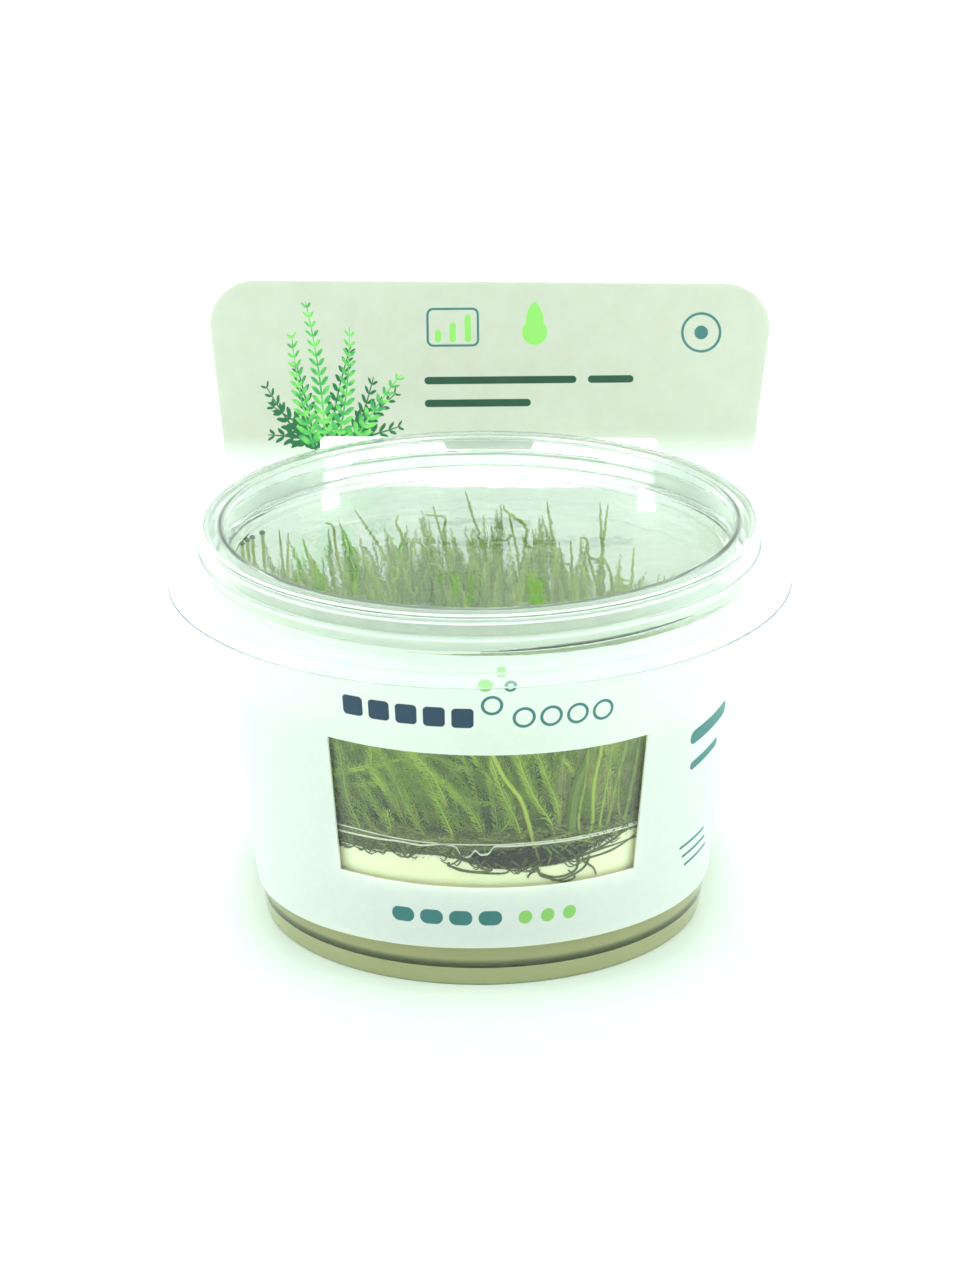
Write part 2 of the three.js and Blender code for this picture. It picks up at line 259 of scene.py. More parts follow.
def speckle(tree, place, scale, detail=3.0, roughness=0.55, stretch=(1, 1, 1)):
    """Noise from 0 to 1 whose scale is in features per metre."""
    mapping = tree.nodes.new("ShaderNodeMapping")
    mapping.inputs["Scale"].default_value = stretch
    tree.links.new(place, mapping.inputs["Vector"])
    texture = tree.nodes.new("ShaderNodeTexNoise")
    texture.inputs["Scale"].default_value = scale
    texture.inputs["Detail"].default_value = detail
    texture.inputs["Roughness"].default_value = roughness
    tree.links.new(mapping.outputs[0], texture.inputs["Vector"])
    return Value(tree, texture.outputs[0])


def bump(tree, height, distance, strength=1.0):
    node = tree.nodes.new("ShaderNodeBump")
    node.inputs["Distance"].default_value = distance
    node.inputs["Strength"].default_value = strength
    tree.links.new(height.socket, node.inputs["Height"])
    return node.outputs[0]


def dress(tree, shader, colour, rough, normal, index):
    """Feeds a shader's colour, roughness and normal, and sets how much it bends light."""
    tree.links.new(colour, shader.inputs["Base Color"])
    tree.links.new(rough.socket, shader.inputs["Roughness"])
    tree.links.new(normal, shader.inputs["Normal"])
    shader.inputs["IOR"].default_value = index


def new_material(name):
    """A material with an empty tree but for its shader and output."""
    material = bpy.data.materials.new(name)
    material.use_nodes = True
    tree = material.node_tree
    shader = tree.nodes["Principled BSDF"]
    return material, tree, shader


# Materials

PLASTIC_INDEX = 1.49


def clear_plastic(name, tint, haze, roughness, ripple=0.0):
    """Clear moulded plastic: faint flow marks, fine scuffs, a little haze and, on a thin panel, ripples."""
    material, tree, shader = new_material(name)
    place = object_place(tree)
    flow = speckle(tree, place, 90, detail=2, stretch=(1, 1, 3))
    scuffs = speckle(tree, place, 1400, detail=4, stretch=(1, 1, 0.3))
    rough = ramp(scuffs, 0.45, 0.8, roughness, roughness + 0.07)
    paler = tuple(min(c * 1.03, 1) for c in tint)
    surface = flow + speckle(tree, place, 260, detail=1) * ripple
    normal = bump(tree, surface, 0.4 * MM, 0.25)
    dress(tree, shader, mix(tree, flow, tint, paler), rough, normal, PLASTIC_INDEX)
    shader.inputs["Transmission Weight"].default_value = 1 - haze
    return material


def cloudy_plastic(name, colour, clear, roughness):
    """The same plastic where it is thick or folded: milky, with light spread through it; also used for
    painted highlight lines, a painted band of light and a painted view of the gel.
    """
    material, tree, shader = new_material(name)
    place = object_place(tree)
    flow = speckle(tree, place, 110, detail=3, stretch=(1, 1, 4))
    paler = tuple(min(c * 1.04, 1) for c in colour)
    milk = mix(tree, ramp(flow, 0.3, 0.7), colour, paler)
    rough = ramp(flow, 0.3, 0.7, roughness, roughness + 0.06)
    dress(tree, shader, milk, rough, bump(tree, flow, 0.4 * MM, 0.2), PLASTIC_INDEX)
    shader.inputs["Transmission Weight"].default_value = clear
    return material


def gel_material():
    """Pale yellow gel that light spreads through, a little clouded, with painted shade darkening it towards
    the bottom.
    """
    material, tree, shader = new_material("nutrient_gel")
    place = object_place(tree)
    cloud = speckle(tree, place, 160, detail=3, stretch=(1, 1, 5))
    clear_part = mix(tree, cloud, (1.0, 0.95, 0.62), (1.0, 0.97, 0.68))
    height = axes(tree, place)[2]
    # painted shade: the gel is coloured darker and browner low down, where little light reaches it through
    # the foot
    shaded_bottom = mix(tree, ramp(height, 3.8 * MM, 4.9 * MM), (0.2, 0.23, 0.12), (0.68, 0.66, 0.37))
    colour = mix(tree, ramp(height, 7 * MM, 16 * MM), shaded_bottom, clear_part)
    rough = ramp(cloud, 0.3, 0.7, 0.03, 0.1)
    dress(tree, shader, colour, rough, bump(tree, cloud, 0.6 * MM, 0.2), 1.34)
    shader.inputs["Subsurface Weight"].default_value = 1.0
    shader.inputs["Subsurface Scale"].default_value = 0.5 * MM
    shader.inputs["Subsurface Radius"].default_value = (1, 1, 0.7)
    return material


def attribute(tree, name):
    node = tree.nodes.new("ShaderNodeAttribute")
    node.attribute_name = name
    return Value(tree, node.outputs["Fac"])


def leaf_material(name, foot, middle, tip, roughness=0.5, thin=0.45, dim=(0.55, 0.6, 0.5),
                  index=1.36):
    """Moss leaves, one cell thick: darker at the frond's foot, yellower at its tip, no two fronds alike,
    and whole fronds and patches darkened towards dim, partly as painted shade for depth.
    """
    material, tree, shader = new_material(name)
    grown = attribute(tree, "grown")
    own = attribute(tree, "own")
    place = object_place(tree)
    patch = speckle(tree, place, 420, detail=2)
    low = mix(tree, ramp(grown, 0.0, 0.2), foot, middle)
    high = mix(tree, ramp(grown + (own - 0.5) * 0.3, 0.55, 1.0), low, tip)
    # random darkening towards dim: partly tone that differs from frond to frond, partly painted shade for
    # fronds set deeper in the clump
    darker = mix(tree, ramp(patch * 0.6 + own * 0.5, 0.35, 0.75), dim, (1.12, 1.08, 1.0))
    shade = tree.nodes.new("ShaderNodeMix")
    shade.data_type = "RGBA"
    shade.blend_type = "MULTIPLY"
    shade.inputs[0].default_value = 1
    colours = [s for s in shade.inputs if s.type == "RGBA"]
    tree.links.new(high, colours[0])
    tree.links.new(darker, colours[1])
    colour = [s for s in shade.outputs if s.type == "RGBA"][0]
    tree.links.new(colour, shader.inputs["Base Color"])
    rough = ramp(patch, 0.3, 0.7, roughness - 0.12, roughness + 0.12)
    tree.links.new(rough.socket, shader.inputs["Roughness"])
    shader.inputs["IOR"].default_value = index
    through = tree.nodes.new("ShaderNodeBsdfTranslucent")
    tree.links.new(colour, through.inputs["Color"])
    both = tree.nodes.new("ShaderNodeMixShader")
    both.inputs[0].default_value = thin
    tree.links.new(shader.outputs[0], both.inputs[1])
    tree.links.new(through.outputs[0], both.inputs[2])
    tree.links.new(both.outputs[0], tree.nodes["Material Output"].inputs["Surface"])
    return material


def droplet_material():
    """Water drops, barely rippled."""
    material, tree, shader = new_material("water_drop")
    ripple = speckle(tree, object_place(tree), 900, detail=1)
    tree.links.new(ramp(ripple, 0.2, 0.8, 0.0, 0.04).socket, shader.inputs["Roughness"])
    shader.inputs["Base Color"].default_value = (0.97, 1, 0.98, 1)
    shader.inputs["IOR"].default_value = 1.33
    shader.inputs["Transmission Weight"].default_value = 1
    return material


# Print: each shape is a distance in millimetres, below zero inside it

class Print:
    """Shapes on the card's flat layout, gathered by ink."""

    def __init__(self, tree):
        self.tree = tree
        uv = tree.nodes.new("ShaderNodeUVMap")
        uv.uv_map = "layout"
        scale = tree.nodes.new("ShaderNodeVectorMath")
        scale.operation = "SCALE"
        scale.inputs["Scale"].default_value = PRINT_SCALE
        tree.links.new(uv.outputs[0], scale.inputs[0])
        self.place = scale.outputs[0]
        self.u, self.v, _ = axes(tree, self.place)

    def local(self, centre, half_size=(1, 1), turn=0.0):
        """Coordinates round a centre, turned, and 1 at the half size."""
        mapping = self.tree.nodes.new("ShaderNodeMapping")
        mapping.vector_type = "TEXTURE"
        mapping.inputs["Location"].default_value = (*centre, 0)
        mapping.inputs["Rotation"].default_value = (0, 0, turn)
        mapping.inputs["Scale"].default_value = (*half_size, 1)
        self.tree.links.new(self.place, mapping.inputs["Vector"])
        return mapping.outputs[0]

    def disc(self, centre, radius):
        length = self.tree.nodes.new("ShaderNodeVectorMath")
        length.operation = "LENGTH"
        self.tree.links.new(self.local(centre), length.inputs[0])
        return Value(self.tree, length.outputs["Value"]) - radius

    def ring(self, centre, radius, line):
        return size_of(self.disc(centre, radius)) - line / 2

    def leaf(self, centre, half_length, half_width, turn):
        """A pointed oval."""
        along, across, _ = axes(self.tree, self.local(centre, (half_length, half_width), turn))
        return (size_of(across) + along * along - 1) * half_width

    def bar(self, start, end, width):
        """A bar with round ends."""
        middle = ((start[0] + end[0]) / 2, (start[1] + end[1]) / 2)
        half = math.dist(start, end) / 2
        turn = math.atan2(end[1] - start[1], end[0] - start[0])
        along, across, _ = axes(self.tree, self.local(middle, turn=turn))
        past = work(self.tree, "MAXIMUM", size_of(along) - half, 0.0)
        return work(self.tree, "SQRT", past * past + across * across) - width / 2

    def box(self, centre, half_width, half_height, corner=0.0):
        past_u = work(self.tree, "MAXIMUM", size_of(self.u - centre[0]) - (half_width - corner), 0.0)
        past_v = work(self.tree, "MAXIMUM", size_of(self.v - centre[1]) - (half_height - corner), 0.0)
        return work(self.tree, "SQRT", past_u * past_u + past_v * past_v) - corner

    def ink(self, distance, soft=0.07):
        """1 on the shape and 0 off it."""
        return work(self.tree, "MULTIPLY_ADD", distance, -1 / soft, 0.5, clamp=True)


NAVY = (0.018, 0.05, 0.11)
TEAL = (0.05, 0.2, 0.21)
LIGHT_GREEN = (0.3, 0.6, 0.16)
DARK_GREEN = (0.02, 0.15, 0.05)
DEEP_GREEN = (0.02, 0.075, 0.04)
SPRIG_GREEN = (0.05, 0.36, 0.1)
BRIGHT_GREEN = (0.22, 0.6, 0.14)
CARD_WHITE = (0.84, 0.85, 0.85)
CARD_REVERSE = (0.82, 0.8, 0.72)
PANEL_SHADE = (0.53, 0.52, 0.47)


def card_base(name, white=CARD_WHITE):
    """Coated card: fine pulp mottle, a satin coat and a faint fibre grain."""
    material, tree, shader = new_material(name)
    place = object_place(tree)
    mottle = speckle(tree, place, 700, detail=4)
    grain = speckle(tree, place, 2600, detail=3, stretch=(0.4, 1, 1))
    colour = mix(tree, ramp(mottle, 0.3, 0.7), white, tuple(min(c * 1.025, 1) for c in white))
    tree.links.new(ramp(grain, 0.3, 0.7, 0.42, 0.56).socket, shader.inputs["Roughness"])
    tree.links.new(bump(tree, grain * 0.5 + mottle * 0.5, 0.03 * MM, 0.35), shader.inputs["Normal"])
    shader.inputs["IOR"].default_value = 1.46
    # thin card lets some light through
    shader.inputs["Subsurface Weight"].default_value = 1.0
    shader.inputs["Subsurface Scale"].default_value = 1.5 * MM
    shader.inputs["Subsurface Radius"].default_value = (1, 1, 1)
    return material, tree, shader, colour


def front_card():
    """The band's outer face: a row of tiles and rings over the window, bars below it and at the side."""
    material, tree, shader, colour = card_base("printed_card_front")
    p = Print(tree)
    navy = [p.box((-21.2 + 4.5 * step, 50.4 - 0.12 * step), 1.75, 1.75, 0.7) for step in range(5)]
    teal = [p.ring((6.5 + 4.4 * step, 49.8 - 0.12 * step), 1.6, 0.5) for step in range(4)]
    teal += [p.ring((1.4, 52.2), 1.5, 0.5), p.ring((4.2, 55.6), 0.8, 0.45)]
    light = [p.disc((0.3, 55.9), 1.2), p.disc((2.7, 58.4), 0.75)]
    for step in range(4):
        teal.append(p.box((-14.3 + 5.3 * step, 13.0), 2.1, 1.35, 1.3))
    for step in range(3):
        light.append(p.disc((7.9 + 4.1 * step, 12.9), 1.25))
    for row, length in enumerate((5.5, 4.2)):
        start = (41.6 + 0.5 * row, 38.5 - 5.4 * row)
        teal.append(p.bar(start, (start[0] + length * 2, start[1] + 1.2), 2.6 - 1.0 * row))
    for row in range(3):
        start = (41.5 + 1.2 * row, 18.0 - 1.9 * row)
        teal.append(p.bar(start, (start[0] + 9, start[1] + 0.6), 0.55))
    for shapes, ink in ((light, LIGHT_GREEN), (teal, TEAL), (navy, NAVY)):
        colour = mix(tree, p.ink(smallest(*shapes)), colour, ink)
    tree.links.new(colour, shader.inputs["Base Color"])
    return material


def sprig(p, foot, heading, length, sway):
    """A swaying stem with pairs of pointed leaves all along it, smaller towards its tip, as a distance."""
    spacing, reach, half_width, lean = 1.7, 2.9, 0.55, 48 * DEG
    along, across, _ = axes(p.tree, p.local(foot, turn=heading))
    out = size_of(across - along * along * sway)
    # the place on the stem where the leaf that runs through a point is rooted
    root = along - out * (1 / math.tan(lean))
    small = 1 - root * (0.6 / length)
    beside = size_of(work(p.tree, "FRACT", root * (1 / spacing)) - 0.5) * (spacing * math.sin(lean))
    far = work(p.tree, "DIVIDE", out * (2 / (reach * math.sin(lean))), small) - 1
    leaves = beside - (1 - far * far) * small * half_width
    stem = out - small * 0.22
    return largest(smallest(leaves, stem), 0 - root, root - length)


# The printed plant's stems: foot, heading, length and sway
GREEN_SPRIGS = (
    ((-27.0, 65.0), 91 * DEG, 25.5, 0.004), ((-29.0, 65.0), 106 * DEG, 20.0, -0.005),
    ((-25.0, 65.0), 76 * DEG, 21.0, 0.006), ((-22.5, 65.0), 60 * DEG, 15.5, -0.006),
)
DARK_SPRIGS = (
    ((-29.5, 68.0), 150 * DEG, 9.0, -0.008), ((-26.4, 64.0), 84 * DEG, 19.0, -0.006),
    ((-22.0, 68.5), 34 * DEG, 9.5, 0.008), ((-28.6, 64.0), 98 * DEG, 16.0, 0.004),
    ((-30.0, 65.0), 128 * DEG, 13.0, -0.006), ((-23.0, 64.0), 66 * DEG, 14.0, 0.006),
    ((-21.5, 66.5), 12 * DEG, 8.0, 0.008), ((-30.0, 66.5), 170 * DEG, 7.0, 0.008),
)


def back_card():
    """The standing panel, darkened above its lower part by painted shade: a generic water plant, two
    pictograms, three bars and a ring.
    """
    material, tree, shader, colour = card_base("printed_card_back")
    p = Print(tree)
    # painted shade: from 60 to 68 mm up the white panel is darkened towards a grey-beige, a little mottled
    panel_shade_share = ramp(p.v, 60, 68) * ramp(speckle(tree, object_place(tree), 300), 0.2, 0.8, 0.92, 1.0)
    colour = mix(tree, panel_shade_share, colour, PANEL_SHADE)
    green = [sprig(p, *stem) for stem in GREEN_SPRIGS]
    dark = [sprig(p, *stem) for stem in DARK_SPRIGS]
    dark += [p.disc((-29.5 + 2.0 * step, 66.6 + 0.5 * math.sin(2.4 * step)), 1.3) for step in range(5)]
    outline = size_of(p.box((-4.4, 85.9), 4.4, 3.2, 1.0)) - 0.2
    bright = []
    for step in range(3):
        foot = (-7.0 + 2.6 * step, 83.8)
        bright.append(p.bar(foot, (foot[0], foot[1] + 1.1 + 1.3 * step), 1.1))
    drop = [p.disc((9.9, 84.9), 2.2), p.leaf((9.9, 87.2), 3.2, 1.5, 90 * DEG)]
    lines = [p.bar((-8.8, 76.6), (16.5, 76.6), 1.3), p.bar((19.8, 76.6), (26.5, 76.6), 1.3)]
    lines += [p.bar((-8.8, 72.6), (8.5, 72.6), 1.3)]
    ring = [p.ring((39.0, 84.6), 3.3, 0.45), p.disc((39.0, 84.6), 1.2)]
    patches = ramp(speckle(tree, object_place(tree), 500), 0.35, 0.65)
    leaf_green = mix(tree, patches, SPRIG_GREEN, BRIGHT_GREEN)
    inks = ((dark, DARK_GREEN), (green, leaf_green), (bright, LIGHT_GREEN), ([outline, *ring], TEAL),
            (drop, LIGHT_GREEN), (lines, DEEP_GREEN))
    for shapes, ink in inks:
        colour = mix(tree, p.ink(smallest(*shapes)), colour, ink)
    tree.links.new(colour, shader.inputs["Base Color"])
    return material


def plain_card():
    """The card's unprinted inner face and cut edges."""
    material, tree, shader, colour = card_base("plain_card", CARD_REVERSE)
    tree.links.new(colour, shader.inputs["Base Color"])
    return material


# Meshes

def as_object(name, mesh, materials, node=None):
    """Links a finished mesh as a piece of the object, standing for a CAD node if one is named."""
    obj = bpy.data.objects.new(name, mesh)
    bpy.context.scene.collection.objects.link(obj)
    for material in materials:
        mesh.materials.append(material)
    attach(obj, "root")
    if node:
        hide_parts(node)
    return obj


def finished(bm, name, sharp=40 * DEG):
    """Closes a bmesh into a smooth-shaded mesh with outward normals."""
    bmesh.ops.remove_doubles(bm, verts=bm.verts, dist=1e-7)
    bmesh.ops.recalc_face_normals(bm, faces=bm.faces)
    for face in bm.faces:
        face.smooth = True
    for edge in bm.edges:
        edge.smooth = len(edge.link_faces) == 2 and edge.calc_face_angle(0) < sharp
    mesh = bpy.data.meshes.new(name)
    bm.to_mesh(mesh)
    bm.free()
    return mesh


def rounded(corners, steps=4, hold=0.15):
    """Outline through (r, z, fillet) corners, with each fillet as a curve and long stretches held flat."""
    points = []
    for i, (r, z, fillet) in enumerate(corners):
        here = Vector((r, z))
        if fillet == 0 or i in (0, len(corners) - 1):
            points.append(here)
            continue
        before = Vector(corners[i - 1][:2]) - here
        after = Vector(corners[i + 1][:2]) - here
        cut = fillet / math.tan(before.angle(after) / 2)
        start = here + before.normalized() * min(cut, 0.48 * before.length)
        end = here + after.normalized() * min(cut, 0.48 * after.length)
        for step in range(steps + 1):
            t = step / steps
            points.append(start.lerp(here, t).lerp(here.lerp(end, t), t))
    held = []
    for start, end in zip(points, points[1:]):
        held.append(start)
        length = (end - start).length
        if length > 4 * hold:
            held.append(start.lerp(end, hold / length))
            held.append(start.lerp(end, 1 - hold / length))
    held.append(points[-1])
    return held


def turned(outline, steps=192):
    """A bmesh of an outline spun round the Z axis."""
    bm = bmesh.new()
    points = [bm.verts.new((r * MM, 0, z * MM)) for r, z in outline]
    edges = [bm.edges.new(pair) for pair in zip(points, points[1:])]
    bmesh.ops.spin(bm, geom=points + edges, cent=(0, 0, 0), axis=(0, 0, 1), dvec=(0, 0, 0),
                   angle=2 * math.pi, steps=steps, use_merge=True, use_duplicate=False)
    bmesh.ops.remove_doubles(bm, verts=bm.verts, dist=1e-6)
    return bm


def cup_outside(z):
    return CUP_BASE_R + TAPER * z


def cup_inside(z):
    return cup_outside(z) - CUP_WALL


def around(turn, r, z):
    """The place at an angle from the front towards the right."""
    return r * math.sin(turn), -r * math.cos(turn), z


def cup_piece():
    """The cup from its foot ring up: wall, turned-down brim and neck, milky where it is thick, with a milky
    band on the neck as painted light and the foot painted with the gel seen through it.
    """
    outline = rounded([
        (0, BASE_RAISE, 0),
        (FOOT_INNER_R - FOOT_SLOPE, BASE_RAISE, 0.6),
        (FOOT_INNER_R, 0, 0.3),
        (FOOT_INNER_R + FOOT_WIDTH, 0, 0.5),
        (cup_outside(FOOT_BAND_Z), FOOT_BAND_Z, 0),
        (cup_outside(WALL_TOP_Z), WALL_TOP_Z, 0.3),
        (BRIM_FOLD_R - CUP_WALL / 2, BRIM_FOLD_Z - CUP_WALL, 1.8),
        (BRIM_R - CUP_WALL, BRIM_EDGE_Z - 0.2, 0.15),
        (BRIM_R, BRIM_EDGE_Z, 0.2),
        (BRIM_FOLD_R, BRIM_FOLD_Z, 2.4),
        (BRIM_ROOT_R, BRIM_ROOT_Z, 0.3),
        (NECK_R, BRIM_ROOT_Z + 0.4, 0.3),
        (NECK_R, SKIRT_FOOT_Z + NECK_BAND_TOP, 0),
        (NECK_R, NECK_TOP_Z, 0.3),
        (NECK_R - CUP_WALL, NECK_TOP_Z, 0.3),
        (NECK_R - CUP_WALL, WALL_TOP_Z + 0.6, 0.2),
        (cup_inside(WALL_TOP_Z), WALL_TOP_Z, 0.2),
        (cup_inside(CUP_FLOOR_Z), CUP_FLOOR_Z, 1.8),
        (0, CUP_FLOOR_Z, 0),
    ])
    mesh = finished(turned(outline), "cup_clear")
    for face in mesh.polygons:
        r = math.hypot(face.center.x, face.center.y) / MM
        z = face.center.z / MM
        turn = math.atan2(face.center.x, -face.center.y)
        slit_share = min(max((turn - SLIT_START) / SLIT_SPAN, 0), 1)
        slit_top = BRIM_ROOT_Z + SLIT_DEPTH * math.sin(math.pi * slit_share)
        on_neck = NECK_R - 0.2 < r < BRIM_ROOT_R + 0.2
        # painted light: milky faces give the neck its bright band, except at the clear slit
        if on_neck and slit_top < z < SKIRT_FOOT_Z + NECK_BAND_TOP:
            face.material_index = 3
        elif z > WALL_TOP_Z + 0.4 or r > cup_outside(WALL_TOP_Z) + 0.4:
            face.material_index = 1
        # painted view: the clear foot takes the shaded gel's olive colour, as the gel looks through it
        elif z < FOOT_BAND_Z and r > FOOT_INNER_R:
            face.material_index = 2
    materials = [
        clear_plastic("clear_cup_plastic", (0.99, 1.0, 0.99), 0.006, 0.015),
        cloudy_plastic("cloudy_cup_rim", (0.95, 0.98, 0.96), 0.91, 0.05),
        cloudy_plastic("cup_foot_painted_gel_view", (0.41, 0.41, 0.22), 0.1, 0.05),
        cloudy_plastic("neck_painted_light_band", (0.9, 0.95, 0.88), 0.35, 0.08),
    ]
    return as_object("cup_clear", mesh, materials, "cup")


def lid_piece():
    """The snap lid: sunk panel, ring and stepped skirt, milky along its edges, where the lines round the
    skirt are painted highlights.
    """
    under = RING_TOP_Z - LID_WALL
    outline = rounded([
        (0, PANEL_Z - LID_WALL, 0),
        (PANEL_R, PANEL_Z - LID_WALL, 0.5),
        (PANEL_R + LID_WALL, PANEL_Z, 0.3),
        (RING_INNER_R + LID_WALL, under, 0.3),
        (RING_OUTER_R - 0.4, under, 0.3),
        (SKIRT_R - LID_WALL, RING_TOP_Z - 1.8, 0.3),
        (SKIRT_R - LID_WALL, SKIRT_FOOT_Z, 0.1),
        (SKIRT_R, SKIRT_FOOT_Z, 0.25),
        (SKIRT_R, SKIRT_FOOT_Z + 0.5, 0.2),
        (SKIRT_R - 0.3, SKIRT_FOOT_Z + 0.75, 0.15),
        (SKIRT_R - 0.3, SKIRT_STEP_Z, 0.1),
        (SKIRT_R - 0.6, SKIRT_STEP_Z + 0.2, 0.1),
        (RING_OUTER_R + 0.3, RING_TOP_Z - 0.25, 0.3),
        (RING_OUTER_R - 0.2, RING_TOP_Z, 0.25),
        (RING_INNER_R, RING_TOP_Z, 0.35),
        (PANEL_R, PANEL_Z, 0.45),
        (0, PANEL_Z, 0),
    ])
    mesh = finished(turned(outline), "lid_clear")
    # painted highlights: milky white lines round the skirt stand in for the lines of light that the clear
    # edges catch
    lines = (SKIRT_FOOT_Z + 0.25, SKIRT_STEP_Z + 0.1, RING_TOP_Z - 0.12)
    for face in mesh.polygons:
        r = math.hypot(face.center.x, face.center.y) / MM
        z = face.center.z / MM
        if r > RING_OUTER_R - 0.15 and any(abs(z - line) < HIGHLIGHT_HALF_WIDTH for line in lines):
            face.material_index = 2
        elif abs(r - RING_INNER_R) < 0.35 and z > RING_TOP_Z - 0.45:
            face.material_index = 3
        elif r > RING_INNER_R - 0.5:
            face.material_index = 1
    materials = [
        clear_plastic("clear_lid_plastic", (0.99, 1.0, 0.99), 0.012, 0.02, 0.35),
        cloudy_plastic("cloudy_lid_ring", (0.98, 0.99, 0.98), 0.92, 0.03),
        cloudy_plastic("lid_painted_highlight_lines", (0.95, 0.97, 0.95), 0.3, 0.1),
        cloudy_plastic("lid_inner_edge", (0.95, 0.98, 0.95), 0.72, 0.05),
    ]
    return as_object("lid_clear", mesh, materials, "lid")


def gel_edge_z(turn):
    """Height of the gel's edge at the wall, at an angle from the front towards the right."""
    hollow = GEL_HOLLOW * math.exp(-((turn * FLAT_R - GEL_HOLLOW_X) / GEL_HOLLOW_SPAN) ** 4)
    rise = GEL_RISE * math.exp(-((turn * FLAT_R - GEL_RISE_X) / GEL_RISE_SPAN) ** 2)
    return GEL_EDGE_Z + 0.35 * math.sin(5 * turn + 1) - hollow + rise


def film_z(turn, second):
    """Height of the two lines that the gel's wet film leaves on the wall; the second one sags in loops."""
    along = turn * FLAT_R
    height = GEL_TOP_Z - 0.2 - 0.25 * math.sin(3 * turn) + 0.25 * math.sin(2 * turn)
    if not second:
        return height + FILM_RISE * math.exp(-((along + 26) / 10) ** 2)
    sag = sum(deep * math.exp(-((along - x) / FILM_SAG_SPAN) ** 4) for x, deep in FILM_SAGS)
    ripple = 0.3 * math.sin(29 * turn) * math.exp(-((along + 7) / 7) ** 2)
    return height - FILM_DROP - sag + ripple


def film_ring(bm, second):
    """Adds one line of the film as a thin closed ring against the wall."""
    steps, sides = 900, 5
    thick = 0.13 if second else 0.09
    rings = []
    for step in range(steps):
        turn = step / steps * 2 * math.pi - math.pi
        z = film_z(turn, second)
        r = cup_inside(z) - 0.28
        verts = []
        for side in range(sides):
            lean = side / sides * 2 * math.pi
            place = Vector(around(turn, r + thick * math.cos(lean), z + thick * 1.4 * math.sin(lean)))
            verts.append(bm.verts.new(place * MM))
        rings.append(verts)
    for first, other in zip(rings, rings[1:] + rings[:1]):
        for side in range(sides):
            following = (side + 1) % sides
            bm.faces.new((first[side], other[side], other[following], first[following]))


def gel_piece():
    """The gel, whose edge is uneven where the moss stands in it, and its film's two lines above."""
    low = CUP_FLOOR_Z - GEL_INTO_WALL
    outline = rounded([
        (0, low, 0),
        (cup_inside(low) + GEL_INTO_WALL, low, 1.7),
        (cup_inside(GEL_LOOSE_Z - 2) + GEL_INTO_WALL, GEL_LOOSE_Z - 2, 0.5),
        (cup_inside(GEL_LOOSE_Z) - GEL_GAP, GEL_LOOSE_Z, 0.5),
        (cup_inside(GEL_TOP_Z) - GEL_GAP, GEL_TOP_Z, 0.2),
        (37.5, GEL_TOP_Z - 0.7, 0.6),
        (32, GEL_TOP_Z - 1.6, 1.0),
        (0, GEL_TOP_Z - 2.2, 0),
    ])
    bm = turned(outline, 160)
    for vert in bm.verts:
        r = math.hypot(vert.co.x, vert.co.y) / MM
        z = vert.co.z / MM
        if r < 1 or z < GEL_SHAPED_Z:
            continue
        turn = math.atan2(vert.co.x, -vert.co.y)
        share = min(max((z - GEL_SHAPED_Z) / (GEL_TOP_Z - GEL_SHAPED_Z), 0), 1)
        wobble = noise.noise(vert.co * 260) * 0.8
        vert.co.z += (share * (gel_edge_z(turn) - GEL_TOP_Z) + (1 - share) * wobble) * MM
        loose = min(1, (cup_inside(vert.co.z / MM) - GEL_GAP) / r)
        vert.co.x *= loose
        vert.co.y *= loose
    film_ring(bm, False)
    film_ring(bm, True)
    return as_object("nutrient_gel_clear", finished(bm, "nutrient_gel_clear", 35 * DEG), [gel_material()],
                     "nutrient_gel")


# Card sleeve

def card_r(z):
    return CUP_BASE_R + CARD_GAP + TAPER * z


def back_y(z):
    return BACK_Y + BACK_LEAN * (z - CARD_BOTTOM_Z)


def fold_x(z):
    return FOLD_X + TAPER * (z - CARD_BOTTOM_Z)


def band_place(way, z, out):
    """Point of the band, whose way runs -1 to 1 round the front and then along a side to the fold at 2."""
    side = math.copysign(1, way)
    reach = abs(way)
    if reach <= 1:
        lean = CARD_TILT * (z - WINDOW_MIDDLE_Z) / FLAT_R * math.cos(way * math.pi / 2) ** 2
        turn = way * math.pi / 2 + lean
        return Vector(around(turn, card_r(z) + out, z))
    end_y = back_y(z) - FOLD_R
    if reach <= FOLD_WAY:
        share = (reach - 1) / (FOLD_WAY - 1)
        x = card_r(z) + (fold_x(z) - card_r(z)) * share + out
        return Vector((side * x, end_y * share, z))
    turn = (reach - FOLD_WAY) / (2 - FOLD_WAY) * math.pi / 2
    r = FOLD_R + out
    return Vector((side * (fold_x(z) - FOLD_R + r * math.cos(turn)), end_y + r * math.sin(turn), z))


def band_rows(way):
    """Heights of the band's rows at one way round it: bottom, window and top edges and rows between."""
    place = band_place(way, CARD_TOP_Z, CARD)
    drop = -math.tan(CARD_TILT) * place.x
    share = min(max((place.y + SHOULDER_RUN) / SHOULDER_RUN, 0), 1)
    top = CARD_TOP_Z + (CARD_SIDE_TOP_Z - CARD_TOP_Z) * share * share * (3 - 2 * share)
    top = min(top + drop, WALL_TOP_Z - CARD_GAP)
    aside = place.x / card_r(CARD_TOP_Z)
    flat = min(max((abs(way) - 1) / (FOLD_WAY - 1), 0), 1)
    dip = (CARD_DIP + CARD_SIDE_DIP * aside * aside - CARD_LEFT_DIP * aside) * (1 - flat)
    edges = (CARD_BOTTOM_Z - dip, WINDOW_LOW_Z + drop, WINDOW_HIGH_Z + drop, top)
    rows = []
    for low, high in zip(edges, edges[1:]):
        rows += [low + (high - low) * step / BAND_STEPS for step in range(BAND_STEPS)]
    return [*rows, top]


